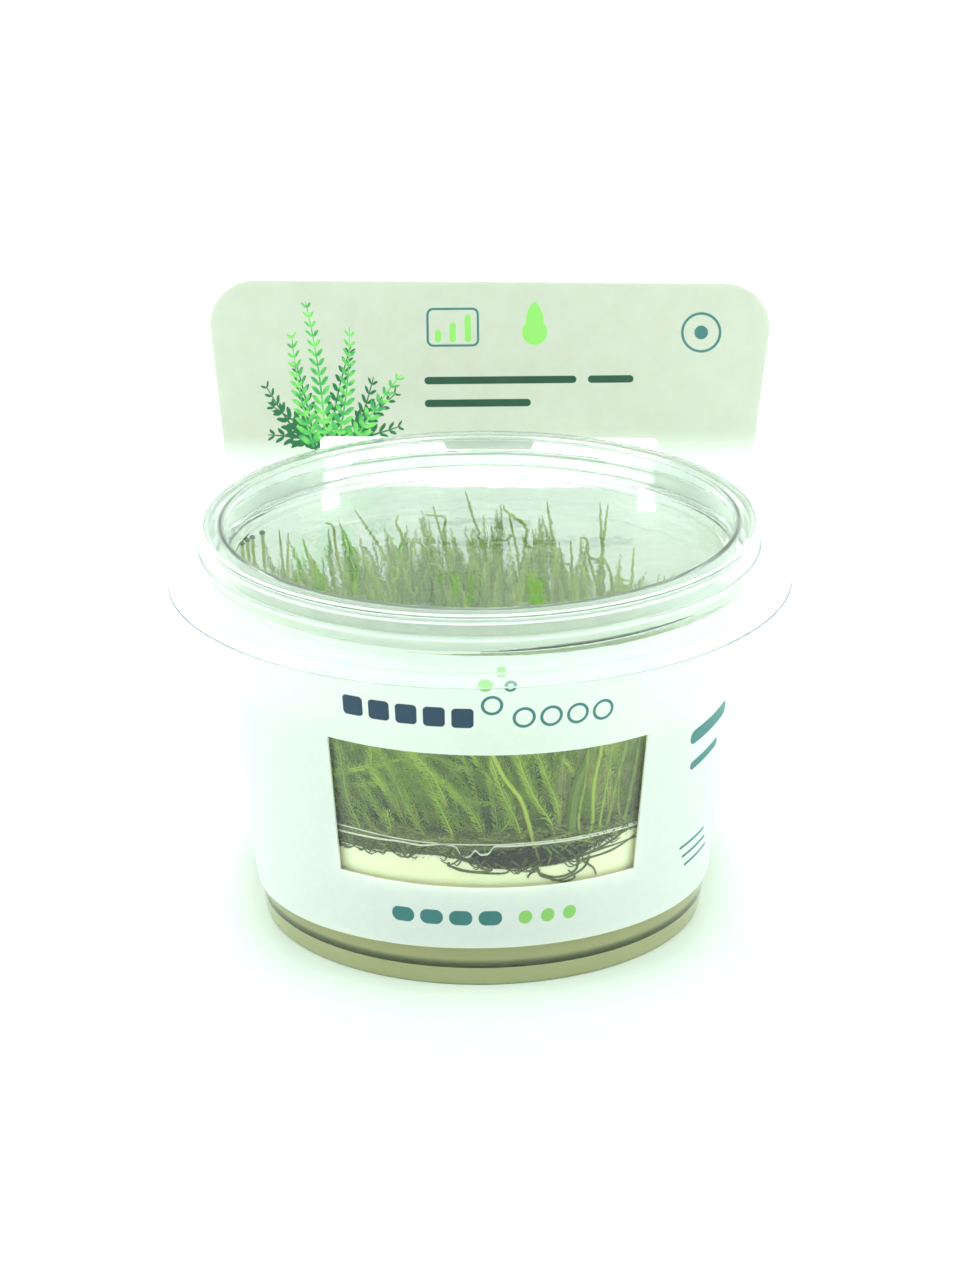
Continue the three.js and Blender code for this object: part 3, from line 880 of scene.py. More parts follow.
def band_ways():
    """Places round the band, with one at each side of the window."""
    middle = math.asin(CARD_SHIFT / card_r(WINDOW_MIDDLE_Z)) / (math.pi / 2)
    half = WINDOW_ANGLE / (math.pi / 2)
    left, right = middle - half, middle + half
    ways = [-2 + 0.04 * step for step in range(5)] + [-1.8 + 0.1 * step for step in range(8)]
    ways += [-1 + (left + 1) * step / 24 for step in range(24)]
    ways += [left + (right - left) * step / 40 for step in range(40)]
    ways += [right + (1 - right) * step / 24 for step in range(24)]
    ways += [1 + 0.1 * step for step in range(8)] + [1.8 + 0.04 * step for step in range(6)]
    return ways, ways.index(left), ways.index(right)


def band_into(bm, layout):
    """Adds the band as a closed shell with its window cut out."""
    ways, left, right = band_ways()
    rows = [band_rows(way) for way in ways]
    grids = []
    for out in (CARD, 0):
        grids.append([[bm.verts.new(band_place(way, z, out) * MM) for z in heights]
                      for way, heights in zip(ways, rows)])
    count = len(rows[0])

    def hole(i, j):
        return left <= i < right and BAND_STEPS <= j < 2 * BAND_STEPS

    def there(i, j):
        return 0 <= i < len(ways) - 1 and 0 <= j < count - 1 and not hole(i, j)

    def add(verts, material, marks=None):
        face = bm.faces.new(verts)
        face.material_index = material
        for loop, mark in zip(face.loops, marks or [(0, 0)] * 4):
            loop[layout].uv = mark

    for i in range(len(ways) - 1):
        for j in range(count - 1):
            if not there(i, j):
                continue
            corners = [(i, j), (i + 1, j), (i + 1, j + 1), (i, j + 1)]
            quarter = 90 * DEG * FLAT_R / PRINT_SCALE
            marks = [(ways[a] * quarter, rows[a][b] / PRINT_SCALE) for a, b in corners]
            add([grids[0][a][b] for a, b in corners], 0, marks)
            add([grids[1][a][b] for a, b in reversed(corners)], 2)
            borders = (((i, j - 1), 0, 1), ((i + 1, j), 1, 2), ((i, j + 1), 2, 3), ((i - 1, j), 3, 0))
            for neighbour, first, second in borders:
                if not there(*neighbour):
                    (a, b), (c, d) = corners[first], corners[second]
                    add([grids[0][a][b], grids[1][a][b], grids[1][c][d], grids[0][c][d]], 2)


def arc(x, z, radius, start, end, steps):
    turns = [start + (end - start) * step / steps for step in range(steps + 1)]
    return [(x + radius * math.cos(turn), z + radius * math.sin(turn)) for turn in turns]


def plate_outlines():
    """The back's outline and slot in its own plane, as x and height above the card's bottom edge."""
    stretch = math.hypot(1, BACK_LEAN)

    def up(z):
        return (z - CARD_BOTTOM_Z) * stretch

    def cut(x, z):
        middle = up(WINDOW_MIDDLE_Z)
        turned_place = Matrix.Rotation(-CARD_TILT, 2) @ Vector((x, up(z) - middle))
        return turned_place.x + CARD_SHIFT, turned_place.y + middle

    half = fold_x(CARD_BOTTOM_Z) - FOLD_R
    shoulder = fold_x(CARD_SIDE_TOP_Z) - FOLD_R
    corner = arc(PANEL_TOP_X - BACK_CORNER_R, BACK_TOP_Z - BACK_CORNER_R, BACK_CORNER_R, 0, 90 * DEG, 14)
    ear = arc(PANEL_LOW_X - EAR_R, EAR_Z, EAR_R, -90 * DEG, -5 * DEG, 6)
    outer = [(-half, 0), (half, 0), (shoulder, up(CARD_SIDE_TOP_Z)), (shoulder, up(EAR_NOTCH_Z))]
    outer += [cut(x, z) for x, z in ear + corner]
    outer += [cut(-x, z) for x, z in reversed(ear + corner)]
    outer += [(-shoulder, up(EAR_NOTCH_Z)), (-shoulder, up(CARD_SIDE_TOP_Z))]
    right = [(SLOT_X - SLOT_LEG, SLOT_LOW_Z), (SLOT_X - SLOT_LEG, SLOT_LEG_Z), (SLOT_X, SLOT_LEG_Z)]
    right += arc(SLOT_X - SLOT_CORNER, SLOT_HIGH_Z - SLOT_CORNER, SLOT_CORNER, 0, 90 * DEG, 4)
    right += [(TAB_X, SLOT_HIGH_Z), (TAB_X - TAB_DRAFT, TAB_LOW_Z)]
    slot = [cut(x, z) for x, z in right]
    slot += [cut(-x, z) for x, z in reversed(right)]
    return outer, slot


def plate_into(bm, layout):
    """Adds the flat back, which leans away and stands up behind the cup."""
    lean = math.atan(BACK_LEAN)
    faces_before = set(bm.faces)
    edges = []
    for outline in plate_outlines():
        verts = [bm.verts.new((x * MM, h * MM, 0)) for x, h in outline]
        edges += [bm.edges.new((a, b)) for a, b in zip(verts, verts[1:] + verts[:1])]
    bmesh.ops.triangle_fill(bm, use_beauty=True, use_dissolve=False, edges=edges)
    front = [face for face in bm.faces if face not in faces_before]
    grown = bmesh.ops.extrude_face_region(bm, geom=front, use_keep_orig=True)
    rear_verts = [item for item in grown["geom"] if isinstance(item, bmesh.types.BMVert)]
    bmesh.ops.translate(bm, vec=(0, 0, CARD * MM), verts=rear_verts)
    plate = [face for face in bm.faces if face not in faces_before]
    front_faces = set(front)
    for face in plate:
        face.material_index = 1 if face in front_faces else 2
        for loop in face.loops:
            x, h = loop.vert.co.x / MM, loop.vert.co.y / MM
            loop[layout].uv = (x / PRINT_SCALE, (CARD_BOTTOM_Z + h * math.cos(lean)) / PRINT_SCALE)
    foot = Matrix.Translation((0, BACK_Y * MM, CARD_BOTTOM_Z * MM))
    stand = foot @ Matrix.Rotation(math.pi / 2 - lean, 4, "X")
    verts = list({vert for face in plate for vert in face.verts})
    flip = Matrix.Diagonal((1, 1, -1, 1))
    bmesh.ops.transform(bm, matrix=stand @ flip, verts=verts)


def card_piece():
    """The folded sleeve, printed on the faces that look to the front and bare on the others."""
    bm = bmesh.new()
    layout = bm.loops.layers.uv.new("layout")
    band_into(bm, layout)
    plate_into(bm, layout)
    mesh = finished(bm, "card_sleeve_printed", 25 * DEG)
    materials = [front_card(), back_card(), plain_card()]
    return as_object("card_sleeve_printed", mesh, materials, "card_sleeve")


# Moss

rng = np.random.default_rng(7)


def unit(vectors):
    return vectors / np.maximum(np.linalg.norm(vectors, axis=-1, keepdims=True), 1e-9)


def square_to(along):
    """Two directions at right angles to a path, at each of its places."""
    side = unit(np.cross(along, [0.31, 0.87, 0.21]))
    return side, np.cross(along, side)


def set_values(mesh, label, values):
    """Gives each vertex its value of an attribute that the leaf materials read."""
    layer = mesh.attributes.new(label, "FLOAT", "POINT")
    layer.data.foreach_set("value", np.asarray(values, np.float32))


def curve(points, count):
    """A smooth path through or near the points, as count places."""
    points = np.asarray(points, float)
    while len(points) < 4:
        points = np.vstack([points[:1] * 2 - points[1:2], points])
    t = np.linspace(0, len(points) - 1, count)
    place = np.minimum(t.astype(int), len(points) - 2)
    s = (t - place)[:, None]
    padded = np.vstack([points[:1] * 2 - points[1:2], points, points[-1:] * 2 - points[-2:-1]])
    a, b, c, d = (padded[place + k] for k in range(4))
    square = (2 * a - 5 * b + 4 * c - d) * s ** 2
    cube = (3 * b - a - 3 * c + d) * s ** 3
    return 0.5 * (2 * b + (c - a) * s + square + cube)


class Growth:
    """Gathers leaves and stems, in millimetres, for one mesh."""

    def __init__(self):
        self.verts = []
        self.quads = []
        self.grown = []
        self.own = []
        self.count = 0

    def add(self, verts, quads, grown, own):
        self.verts.append(verts)
        self.quads.append(quads + self.count)
        self.grown.append(grown)
        self.own.append(np.full(len(verts), own))
        self.count += len(verts)

    def stem(self, path, radius, tip_radius, own, grown=(0.0, 1.0), sides=4):
        """A tapering tube along a path."""
        along = unit(np.gradient(path, axis=0))
        side, other = square_to(along)
        share = np.linspace(0, 1, len(path))[:, None, None]
        turns = (np.arange(sides) * 2 * np.pi / sides)[None, :, None]
        rim = np.cos(turns) * side[:, None] + np.sin(turns) * other[:, None]
        verts = path[:, None] + rim * (radius + (tip_radius - radius) * share)
        rows = np.arange(len(path) - 1)[:, None] * sides
        k = np.arange(sides)[None, :]
        following = (k + 1) % sides
        quads = np.stack([rows + k, rows + following, rows + sides + following, rows + sides + k], -1)
        tall = np.repeat(np.linspace(*grown, len(path)), sides)
        self.add(verts.reshape(-1, 3), quads.reshape(-1, 4), tall, own)

    def leaves(self, path, spacing, length, width, lift, own, grown=(0.0, 1.0), ranks=SPIRAL):
        """Small folded leaves set round a path, each the angle ranks on from the last."""
        steps = np.linalg.norm(np.diff(path, axis=0), axis=1)
        far = np.concatenate([[0], np.cumsum(steps)])
        count = max(int(far[-1] / spacing), 2)
        at = np.linspace(0, far[-1], count)
        base = np.stack([np.interp(at, far, path[:, k]) for k in range(3)], 1)
        tangent = unit(np.gradient(path, axis=0))
        along = unit(np.stack([np.interp(at, far, tangent[:, k]) for k in range(3)], 1))
        side, other = square_to(along)
        turn = (np.arange(count) * ranks * DEG + rng.uniform(-0.5, 0.5, count))[:, None]
        outward = np.cos(turn) * side + np.sin(turn) * other
        share = at / far[-1]
        fade = np.clip(np.minimum(share * 6 + 0.55, (1 - share) * 5 + 0.35), 0, 1)
        size = (length * fade * rng.uniform(0.75, 1.2, count))[:, None]
        opening = 0.55 + 0.45 * np.clip((1 - share) * 3, 0, 1)
        angle = (lift * opening * rng.uniform(0.8, 1.2, count))[:, None]
        reach = along * np.cos(angle) + outward * np.sin(angle)
        across = np.cross(along, outward)
        half = width / 2 * fade[:, None]
        fold = unit(outward * np.cos(angle) - along * np.sin(angle)) * half * 0.5
        middle = base + reach * size * 0.42
        tip = base + reach * size
        verts = np.stack([base, middle + across * half + fold, tip, middle - across * half + fold], 1)
        quads = np.arange(count * 4).reshape(-1, 4)
        tall = np.repeat(np.interp(share, [0, 1], grown), 4)
        self.add(verts.reshape(-1, 3), quads, tall, own)

    def mesh(self, name):
        verts = np.concatenate(self.verts) * MM
        quads = np.concatenate(self.quads)
        mesh = bpy.data.meshes.new(name)
        mesh.from_pydata(verts.tolist(), [], quads.tolist())
        set_values(mesh, "grown", np.concatenate(self.grown))
        set_values(mesh, "own", np.concatenate(self.own))
        mesh.update()
        return mesh


def wall_r(z):
    """How far out the moss may reach at a height."""
    return cup_inside(z) - 0.5


def kept_inside(path):
    """Pushes a path back inside the cup and under the lid."""
    path = np.array(path, float)
    path[:, 2] = np.minimum(path[:, 2], FROND_TIP_Z)
    r = np.hypot(path[:, 0], path[:, 1])
    squeeze = np.minimum(1, wall_r(path[:, 2]) / np.maximum(r, 1e-6))
    path[:, 0] *= squeeze
    path[:, 1] *= squeeze
    return path


def against_wall(points, depth):
    """Places on the inside of the cup's front for (x, height) points, set in by depth."""
    places = []
    for x, z in points:
        r = wall_r(z) - depth
        x = min(x, r - 1)
        places.append((x, -math.sqrt(r * r - x * x), z))
    return np.array(places)


def frond(growth, foot, tip, bend, own, leaf):
    """One feathery frond from foot to tip, bowed sideways by bend."""
    foot, tip, bend = (np.asarray(v, float) for v in (foot, tip, bend))
    wiggle = rng.normal(0, 0.35, (2, 3))
    low = foot * 0.66 + tip * 0.34 + bend + wiggle[0]
    high = foot * 0.3 + tip * 0.7 + bend * 0.8 + wiggle[1]
    height = np.linalg.norm(tip - foot)
    path = kept_inside(curve([foot, low, high, tip], max(int(height / 1.1), 5)))
    growth.stem(path, 0.16, 0.06, own, sides=3)
    growth.leaves(path, *leaf, 48 * DEG, own)


def moss_top(x, y):
    """Height that most tips reach over a place, lower towards the right."""
    hills = 2.5 * noise.noise(Vector((x * 0.06, y * 0.06, 3.0)))
    clear = min(max((x - 12) / 18, 0), 1)
    return 51.5 + hills - 8.5 * clear - 3.5 * max(0, -y / 40)


def body_fronds(growth, count, r_low, r_high):
    """Fronds all over the clump that fan out from a little right of the middle."""
    for i in range(count):
        r = math.sqrt(rng.uniform(r_low ** 2, r_high ** 2))
        turn = rng.uniform(0, 2 * math.pi)
        x, y = r * math.cos(turn), r * math.sin(turn)
        top = moss_top(x, y) + rng.normal(0, 2.6)
        foot_z = rng.uniform(25, 33)
        lean_x = (x - 8) * 0.16 + rng.normal(0, 2.2) - 1.5
        lean_y = y * 0.08 + rng.normal(0, 2.2)
        foot = (x * FOOT_INSET, y * FOOT_INSET, foot_z)
        tip = (x + lean_x, y + lean_y, min(top, BODY_TIP_Z))
        bend = (rng.normal(0, 1.1), rng.normal(0, 1.1), 0)
        frond(growth, foot, tip, bend, rng.uniform(0, 1), BODY_LEAF)


# Fronds that stand near the lid at both sides: how many, from and to in x and y, height of the tips, leaves
SIDE_GROUPS = (
    (60, (-35, -20), (-14, 8), 52.8, BODY_LEAF),
    (20, (21, 34), (-8, 14), 53.5, (0.3, 0.8, 0.34)),
)


def side_fronds(growth):
    """The fronds at both sides, group by group."""
    for count, x_span, y_span, top, leaf in SIDE_GROUPS:
        for i in range(count):
            x, y = rng.uniform(*x_span), rng.uniform(*y_span)
            foot = (x * FOOT_INSET, y * FOOT_INSET, 33)
            tip = (x + rng.normal(-0.8, 1.6), y + rng.normal(0, 1.6), min(rng.normal(top, 1.8), BODY_TIP_Z))
            bend = (rng.normal(0, 0.9), 0, 0)
            frond(growth, foot, tip, bend, rng.uniform(0, 1), leaf)


def edge_fronds(growth, count, first, last):
    """Flat feathery fronds pressed against the cup's wall between two angles from the front."""
    for i in range(count):
        turn = first + (last - first) * (i + rng.uniform(0, 1)) / count
        # fewer where the window's right strands stand
        if 13 < turn * FLAT_R < 27 and i % 3:
            continue
        deep = 0.7 + rng.uniform(0.0, 1.0) * 4.5
        tall = rng.uniform(12, 21)
        lean = (turn - 0.1) * 6.5 - 6.5 + rng.normal(0, 2.4)
        foot_z = rng.uniform(22, 31)
        rows = []
        for share in (0, 0.35, 0.7, 1):
            z = foot_z + tall * share
            r = wall_r(z) - deep * (1 - 0.4 * share)
            way = turn + (lean * share * share + 1.2 * rng.normal(0, 0.4) * share) / r
            rows.append(around(way, r, z))
        path = kept_inside(curve(rows, int(tall / 0.9)))
        own = rng.uniform(0, 1)
        growth.stem(path, 0.17, 0.07, own, sides=3)
        growth.leaves(path, 0.22, 1.35, 0.4, 50 * DEG, own, ranks=FLAT)


# Shoots that reach the lid: where the tip is, seen from above, and how far it leans left
LONG_SHOOTS = (
    (-2.4, 37.5, 2.2), (-21.5, 28.6, 5.0), (-10.2, 23.7, 3.0), (11.7, 31.9, 1.0), (20.8, 30.8, 0.4),
    (22.2, 30.0, -1.0), (15.4, 11.3, 0.4), (30.6, -6.0, 0.2), (-24.0, 22.0, 3.5), (-8.0, 30.0, 2.0),
    (5.0, 27.0, 1.5), (-15.5, 16.0, 3.0), (2.0, 19.0, 1.0), (26.0, 8.0, -0.5), (-30.0, 14.0, 2.0),
    (-34.2, 18.5, 0.6), (-32.6, 17.0, -0.4),
)
# Shoots at the left whose tips have pressed dark against the lid
CAPPED_SHOOTS = ((-40.2, 11.8), (-39.4, 13.6), (-38.6, 14.8), (-37.0, 17.2))


def long_shoots(growth):
    """The drawn-out shoots that stand up above the others."""
    for i, (x, y, lean) in enumerate(LONG_SHOOTS):
        foot_x = x + lean * 1.4
        points = [(foot_x, y - 1.0, 40), (foot_x, y - 0.6, 47), (x + lean * 0.8, y - 0.2, 53), (x, y, 59.4)]
        path = kept_inside(curve(points, 26))
        own = 0.55 + 0.4 * (i % 3) / 2
        growth.stem(path, 0.34, 0.14, own, (0.7, 1.0), sides=6)
        growth.leaves(path, 0.25, 0.9, 0.36, 22 * DEG, own, (0.7, 1.0))
    for x, y in CAPPED_SHOOTS:
        path = kept_inside(curve([(x + 0.8, y - 0.6, 46), (x + 0.3, y, 53), (x, y, 59.2)], 20))
        growth.stem(path, 0.32, 0.34, 0.8, (0.7, 1.0), sides=6)
        growth.leaves(path, 0.34, 0.7, 0.34, 20 * DEG, 0.8, (0.6, 0.9))


def shoot_caps():
    """The dark pressed ends of the shoots at the left."""
    bm = bmesh.new()
    for x, y in CAPPED_SHOOTS:
        place = kept_inside([(x, y, 59.5)])[0]
        shape = Matrix.Translation([float(c) * MM for c in place]) @ Matrix.Diagonal((1, 1, 0.7, 1))
        bmesh.ops.create_icosphere(bm, subdivisions=2, radius=0.55 * MM, matrix=shape)
    return finished(bm, "moss_caps", 180 * DEG)


def tall_tips(growth, count):
    """Slim shoots that reach up towards the lid, drawn out, curled at the end and almost bare."""
    for i in range(count):
        r = 36 * math.sqrt(rng.uniform(0.02, 1))
        turn = rng.uniform(0, 2 * math.pi)
        x, y = r * math.cos(turn), r * math.sin(turn)
        if x > CLEARING_X or y < -15:
            continue
        top = min(rng.normal(55.0, 2.4), FROND_TIP_Z)
        lean = np.array((rng.normal(-1.6, 2.0), rng.normal(0, 1.3), 0))
        curl = np.array((rng.normal(-0.9, 0.9), rng.normal(0, 0.6), rng.uniform(0.3, 1.2)))
        foot = np.array((x, y, 40.0))
        knee = foot + lean * 0.2 + (rng.normal(0, 1.4), rng.normal(0, 1.0), (top - 40) * 0.45)
        neck = foot + lean * 0.7 + (rng.normal(0, 1.1), 0, (top - 40) * 0.82)
        tip = foot + lean + (0, 0, top - 40)
        path = kept_inside(curve([foot, knee, neck, tip, tip + curl], 26))
        own = rng.uniform(0.3, 1)
        growth.stem(path, 0.3, 0.2, own, (0.6, 1.0), sides=5)
        growth.leaves(path, 0.24, 0.95, 0.34, 28 * DEG, own, (0.6, 1.0))


# Strands against the window, as (x, height) from the foot up, in millimetres seen from the front
VIVID_STRAND = ((8.4, 25.0), (7.6, 29.0), (6.2, 34.1), (3.8, 37.9), (1.9, 42.2), (-0.5, 47.0))
# Each right strand also has its radius and how green (0) or yellow (1) it is
RIGHT_STRANDS = (
    (((14.0, 25.0), (14.3, 28.0), (15.1, 34.7), (17.5, 40.7), (18.4, 45.0)), 0.9, 0.2),
    (((17.0, 25.0), (17.8, 28.5), (18.0, 35.0), (19.2, 41.3), (19.2, 46.0)), 0.36, 0.8),
    (((19.4, 23.6), (20.2, 27.0), (21.3, 33.0), (23.3, 41.1), (24.6, 46.0)), 0.3, 0.4),
    (((19.8, 23.0), (22.6, 26.6), (24.0, 32.0), (25.8, 42.2), (26.4, 47.0)), 0.38, 0.3),
    (((26.9, 26.0), (27.4, 31.0), (28.4, 37.0), (29.4, 42.6), (29.9, 47.0)), 0.85, 0.35),
    (((15.8, 25.0), (15.6, 30.0), (16.6, 36.0), (17.2, 42.6), (17.4, 46.0)), 0.26, 0.5),
    (((22.4, 27.0), (22.0, 31.0), (22.4, 37.0), (24.3, 43.0)), 0.24, 0.3),
    (((18.6, 25.2), (19.2, 29.0), (20.0, 34.0), (21.0, 41.8)), 0.22, 0.6),
    (((8.6, 25.0), (9.0, 23.0), (9.4, 21.3)), 0.2, 0.0),
    (((9.6, 25.4), (11.0, 23.6), (10.6, 21.6)), 0.2, 0.1),
    (((12.0, 25.0), (14.0, 23.5), (14.6, 21.5)), 0.2, 0.0),
    (((11.2, 24.6), (13.1, 22.4), (13.4, 20.9)), 0.18, 0.1),
)
# Feathery fronds that lie against the window, from the foot up
WINDOW_FRONDS = (
    ((-9.0, 26.6), (-9.7, 28.2), (-12.1, 32.4), (-14.5, 38.3), (-15.5, 40.1), (-16.5, 42.5), (-18.0, 46.0)),
    ((-13.0, 31.0), (-14.2, 34.1), (-16.6, 36.5), (-17.8, 39.1), (-17.6, 41.5), (-18.4, 46.0)),
    ((-4.6, 26.6), (-5.2, 28.9), (-7.0, 33.3), (-8.9, 38.3), (-10.6, 41.3), (-12.0, 42.8), (-14.0, 46.0)),
    ((-5.6, 33.0), (-6.5, 35.7), (-7.8, 38.4), (-9.6, 41.0), (-10.9, 42.5), (-13.0, 45.0)),
    ((2.4, 33.4), (0.8, 33.8), (-2.0, 34.0), (-4.7, 34.8)),
    ((-1.0, 25.8), (1.1, 27.2), (3.6, 28.9), (4.7, 31.3), (4.3, 34.1), (3.6, 36.0)),
    ((12.4, 29.0), (12.0, 32.9), (10.6, 37.1), (9.6, 40.4), (8.9, 42.5), (8.0, 46.0)),
    ((11.6, 27.0), (11.0, 29.5), (8.9, 33.3), (7.5, 36.7), (6.5, 39.5), (5.4, 44.0)),
    ((-0.6, 39.2), (-3.6, 40.2), (-6.4, 41.3), (-9.2, 42.3), (-12.0, 43.6)),
    ((-19.0, 25.6), (-20.0, 27.7), (-21.7, 32.2), (-22.3, 36.5), (-22.8, 40.4), (-24.0, 45.0)),
    ((-14.7, 26.2), (-14.7, 27.6), (-15.0, 29.5), (-15.3, 31.1)),
    ((6.8, 25.6), (6.4, 26.7), (5.4, 30.4), (3.6, 34.5), (2.6, 37.8), (1.4, 42.0)),
)
# Loops of stem that hang out of the mat into the gel
ROOT_LOOPS = (
    ((-5.5, 22.9), (-5.2, 22.1), (-1.7, 21.2), (1.4, 21.4), (0.6, 22.8)),
    ((-4.9, 22.0), (-3.1, 21.3), (0.6, 20.9), (3.6, 20.8), (4.6, 21.6)),
    ((8.8, 21.6), (9.4, 19.9), (11.0, 19.1), (13.1, 18.2), (14.9, 18.7), (13.8, 20.3)),
    ((15.6, 22.2), (14.9, 19.9), (12.0, 19.2), (9.2, 20.4), (8.6, 21.8)),
    ((17.4, 22.2), (16.4, 20.2), (14.2, 19.0), (11.6, 18.6), (10.4, 19.8)),
    ((16.0, 22.0), (16.5, 21.2), (17.9, 19.8), (18.4, 18.4)),
    ((15.2, 22.3), (19.2, 23.0), (24.9, 23.5), (27.0, 23.8)),
    ((14.2, 22.1), (19.5, 23.5), (23.1, 25.2), (25.8, 25.9)),
    ((16.4, 21.7), (20.6, 22.2), (23.4, 23.2), (25.6, 24.6)),
)
ROOT_SPUR = ((9.0, 22.0), (8.3, 21.1), (7.7, 20.4), (7.2, 19.7))
LEFT_STRAND = ((-25.0, 24.0), (-25.3, 31.0), (-25.8, 37.0), (-26.4, 44.0))


def hazed_fronds(growth, count):
    """Fronds well behind the strands at the window's right, coloured pale as a painted haze of light over
    them.
    """
    for i in range(count):
        x = rng.uniform(12, 31)
        foot_z = rng.uniform(23.5, 30)
        tall = rng.uniform(10, 18)
        lean = rng.normal(0.5, 1.4)
        points = ((x, foot_z), (x + lean * 0.3, foot_z + tall * 0.5), (x + lean, foot_z + tall))
        path = kept_inside(curve(against_wall(points, rng.uniform(1.8, 5.0)), 20))
        own = rng.uniform(0, 1)
        growth.stem(path, 0.17, 0.07, own, sides=3)
        growth.leaves(path, 0.24, 1.35, 0.42, 46 * DEG, own, ranks=FLAT)


def window_strands(growth):
    """The yellow-green strands that stand out in the window."""
    path = curve(against_wall(VIVID_STRAND, 0.35), 60)
    growth.stem(path, 0.36, 0.26, 1.0, (0.5, 1.0), sides=8)
    growth.leaves(path, 0.2, 1.0, 0.4, 30 * DEG, 1.0, (0.6, 1.0), ranks=FLAT)
    for strand, radius, yellow in RIGHT_STRANDS:
        path = curve(against_wall(strand, radius + 0.05), 50)
        growth.stem(path, radius, radius * 0.8, yellow, (yellow * 0.5, yellow), sides=8)
        brighter = (yellow * 0.5 + 0.3, yellow + 0.3)
        growth.leaves(path, 0.17, radius * 1.3 + 0.35, 0.36, 20 * DEG, yellow, brighter)


def window_fronds(growth):
    """Flat fronds whose leaves spread like a feather's on the window."""
    for i, points in enumerate(WINDOW_FRONDS):
        path = curve(against_wall(points, 0.25 + 0.12 * (i % 3)), 44)
        own = 0.3 + 0.6 * (i % 4) / 3
        growth.stem(path, 0.2, 0.1, own, sides=4)
        growth.leaves(path, 0.21, 1.45, 0.38, 52 * DEG, own, (0.3, 1.0), ranks=FLAT)


def root_loops(growth):
    """The curled stems that show dark against the gel."""
    for points in ROOT_LOOPS:
        path = curve(against_wall(points, -0.18), 40)
        growth.stem(path, 0.24, 0.15, 0.4, (0.0, 0.1), sides=6)
        growth.leaves(path, 0.5, 0.45, 0.24, 35 * DEG, 0.4, (0.0, 0.15))
    spur = curve(against_wall(ROOT_SPUR, -0.1), 16)
    growth.stem(spur, 0.36, 0.16, 0.1, (0.0, 0.1), sides=8)
    growth.leaves(spur, 0.1, 0.6, 0.3, 55 * DEG, 0.1, (0.0, 0.1))


def edge_rootlets(growth, count):
    """Short dark roots that hang out of the mat's edge over the gel."""
    for i in range(count):
        turn = rng.uniform(-1, 1) * (0.7 if i % 4 else math.pi)
        sideways = rng.choice((-1, 1)) * rng.uniform(1.2, 3.6)
        fall = rng.uniform(0.3, 1.1)
        rows = []
        for share, down in ((0, -0.3), (0.5, fall), (1, fall * rng.uniform(0.2, 0.8))):
            z = gel_edge_z(turn) - down
            r = wall_r(z) + 0.18
            way = turn + sideways * share / r
            rows.append(around(way, r, z))
        path = curve(rows, 10)
        growth.stem(path, rng.uniform(0.14, 0.24), 0.09, 0.3, (0.0, 0.1), sides=5)
        growth.leaves(path, 0.4, 0.4, 0.2, 35 * DEG, 0.3, (0.0, 0.15))


def left_strand(growth):
    """The broad dark strand at the window's left edge."""
    path = curve(against_wall(LEFT_STRAND, 0.3), 30)
    growth.stem(path, 0.8, 1.0, 0.1, (0.3, 1.0), sides=8)
    growth.leaves(path, 0.1, 1.1, 0.5, 25 * DEG, 0.1, (0.4, 1.0))


def lumpy_core():
    """The dense inside of the mat, from the gel up into the fronds' feet."""
    outline = [(0, 20.9, 0), (30, 21.2, 2), (36.6, 22.0, 2), (37.6, 26, 2)]
    outline += [(37.2, 33, 4), (30, 38, 5), (0, MAT_TOP_Z, 0)]
    bm = turned(rounded(outline), 120)
    bmesh.ops.subdivide_edges(bm, edges=bm.edges, cuts=1, use_grid_fill=True)
    for vert in bm.verts:
        lump = noise.noise(vert.co * 330) + 0.5 * noise.noise(vert.co * 900)
        vert.co.z += lump * 1.1 * MM
        inward = 1 - 0.03 * (1 + noise.noise(vert.co * 500))
        vert.co.x *= inward
        vert.co.y *= inward
    return finished(bm, "moss_mat", 180 * DEG)


def with_growth(mesh, grown, own):
    """The mesh with one value of each attribute all over."""
    set_values(mesh, "grown", np.full(len(mesh.vertices), grown))
    set_values(mesh, "own", np.full(len(mesh.vertices), own))
    return mesh


def roots(growth, count):
    """Dark stems that loop under the mat into the gel."""
    for i in range(count):
        turn = rng.uniform(-math.pi, math.pi)
        r = rng.uniform(28, 37)
        start = np.array(around(turn, r, 22.2))
        step = rng.normal(0, 2.6, 3) * (1, 1, 0)
        points = [start, start + step * 0.5 + (0, 0, -1.6), start + step + (0, 0, -0.4)]
        growth.stem(curve(points, 10), 0.2, 0.1, rng.uniform(0, 1), (0.0, 0.2), sides=4)


def underside(growth, count):
    """The mat's ragged brown-green lower edge, between the gel and the film's lines."""
    for i in range(count):
        turn = rng.uniform(-1, 1) * (0.75 if i % 3 else math.pi)
        low = gel_edge_z(turn) - 0.3
        high = GEL_TOP_Z + (1.6 if i % 4 == 0 else 0.2)
        z = low + (high - low) * rng.uniform(0, 1) ** 0.9
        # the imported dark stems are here
        if -2 < turn * FLAT_R < 21 and z < 25.2:
            continue
        deep = rng.uniform(0.0, 2.6)
        reach = rng.uniform(2.0, 4.5)
        rows = []
        for share in (-0.5, 0, 0.5):
            height = min(max(z + rng.normal(0, 0.5), low - 0.4), high)
            r = wall_r(height) - deep
            way = turn + reach * share / r
            rows.append(around(way, r, height))
        path = curve(rows, 9)
        own = rng.uniform(0, 1)
        growth.stem(path, 0.16, 0.08, own, (0.3, 0.9), sides=4)
        growth.leaves(path, 0.24, 0.8, 0.34, 38 * DEG, own, (0.3, 0.9))


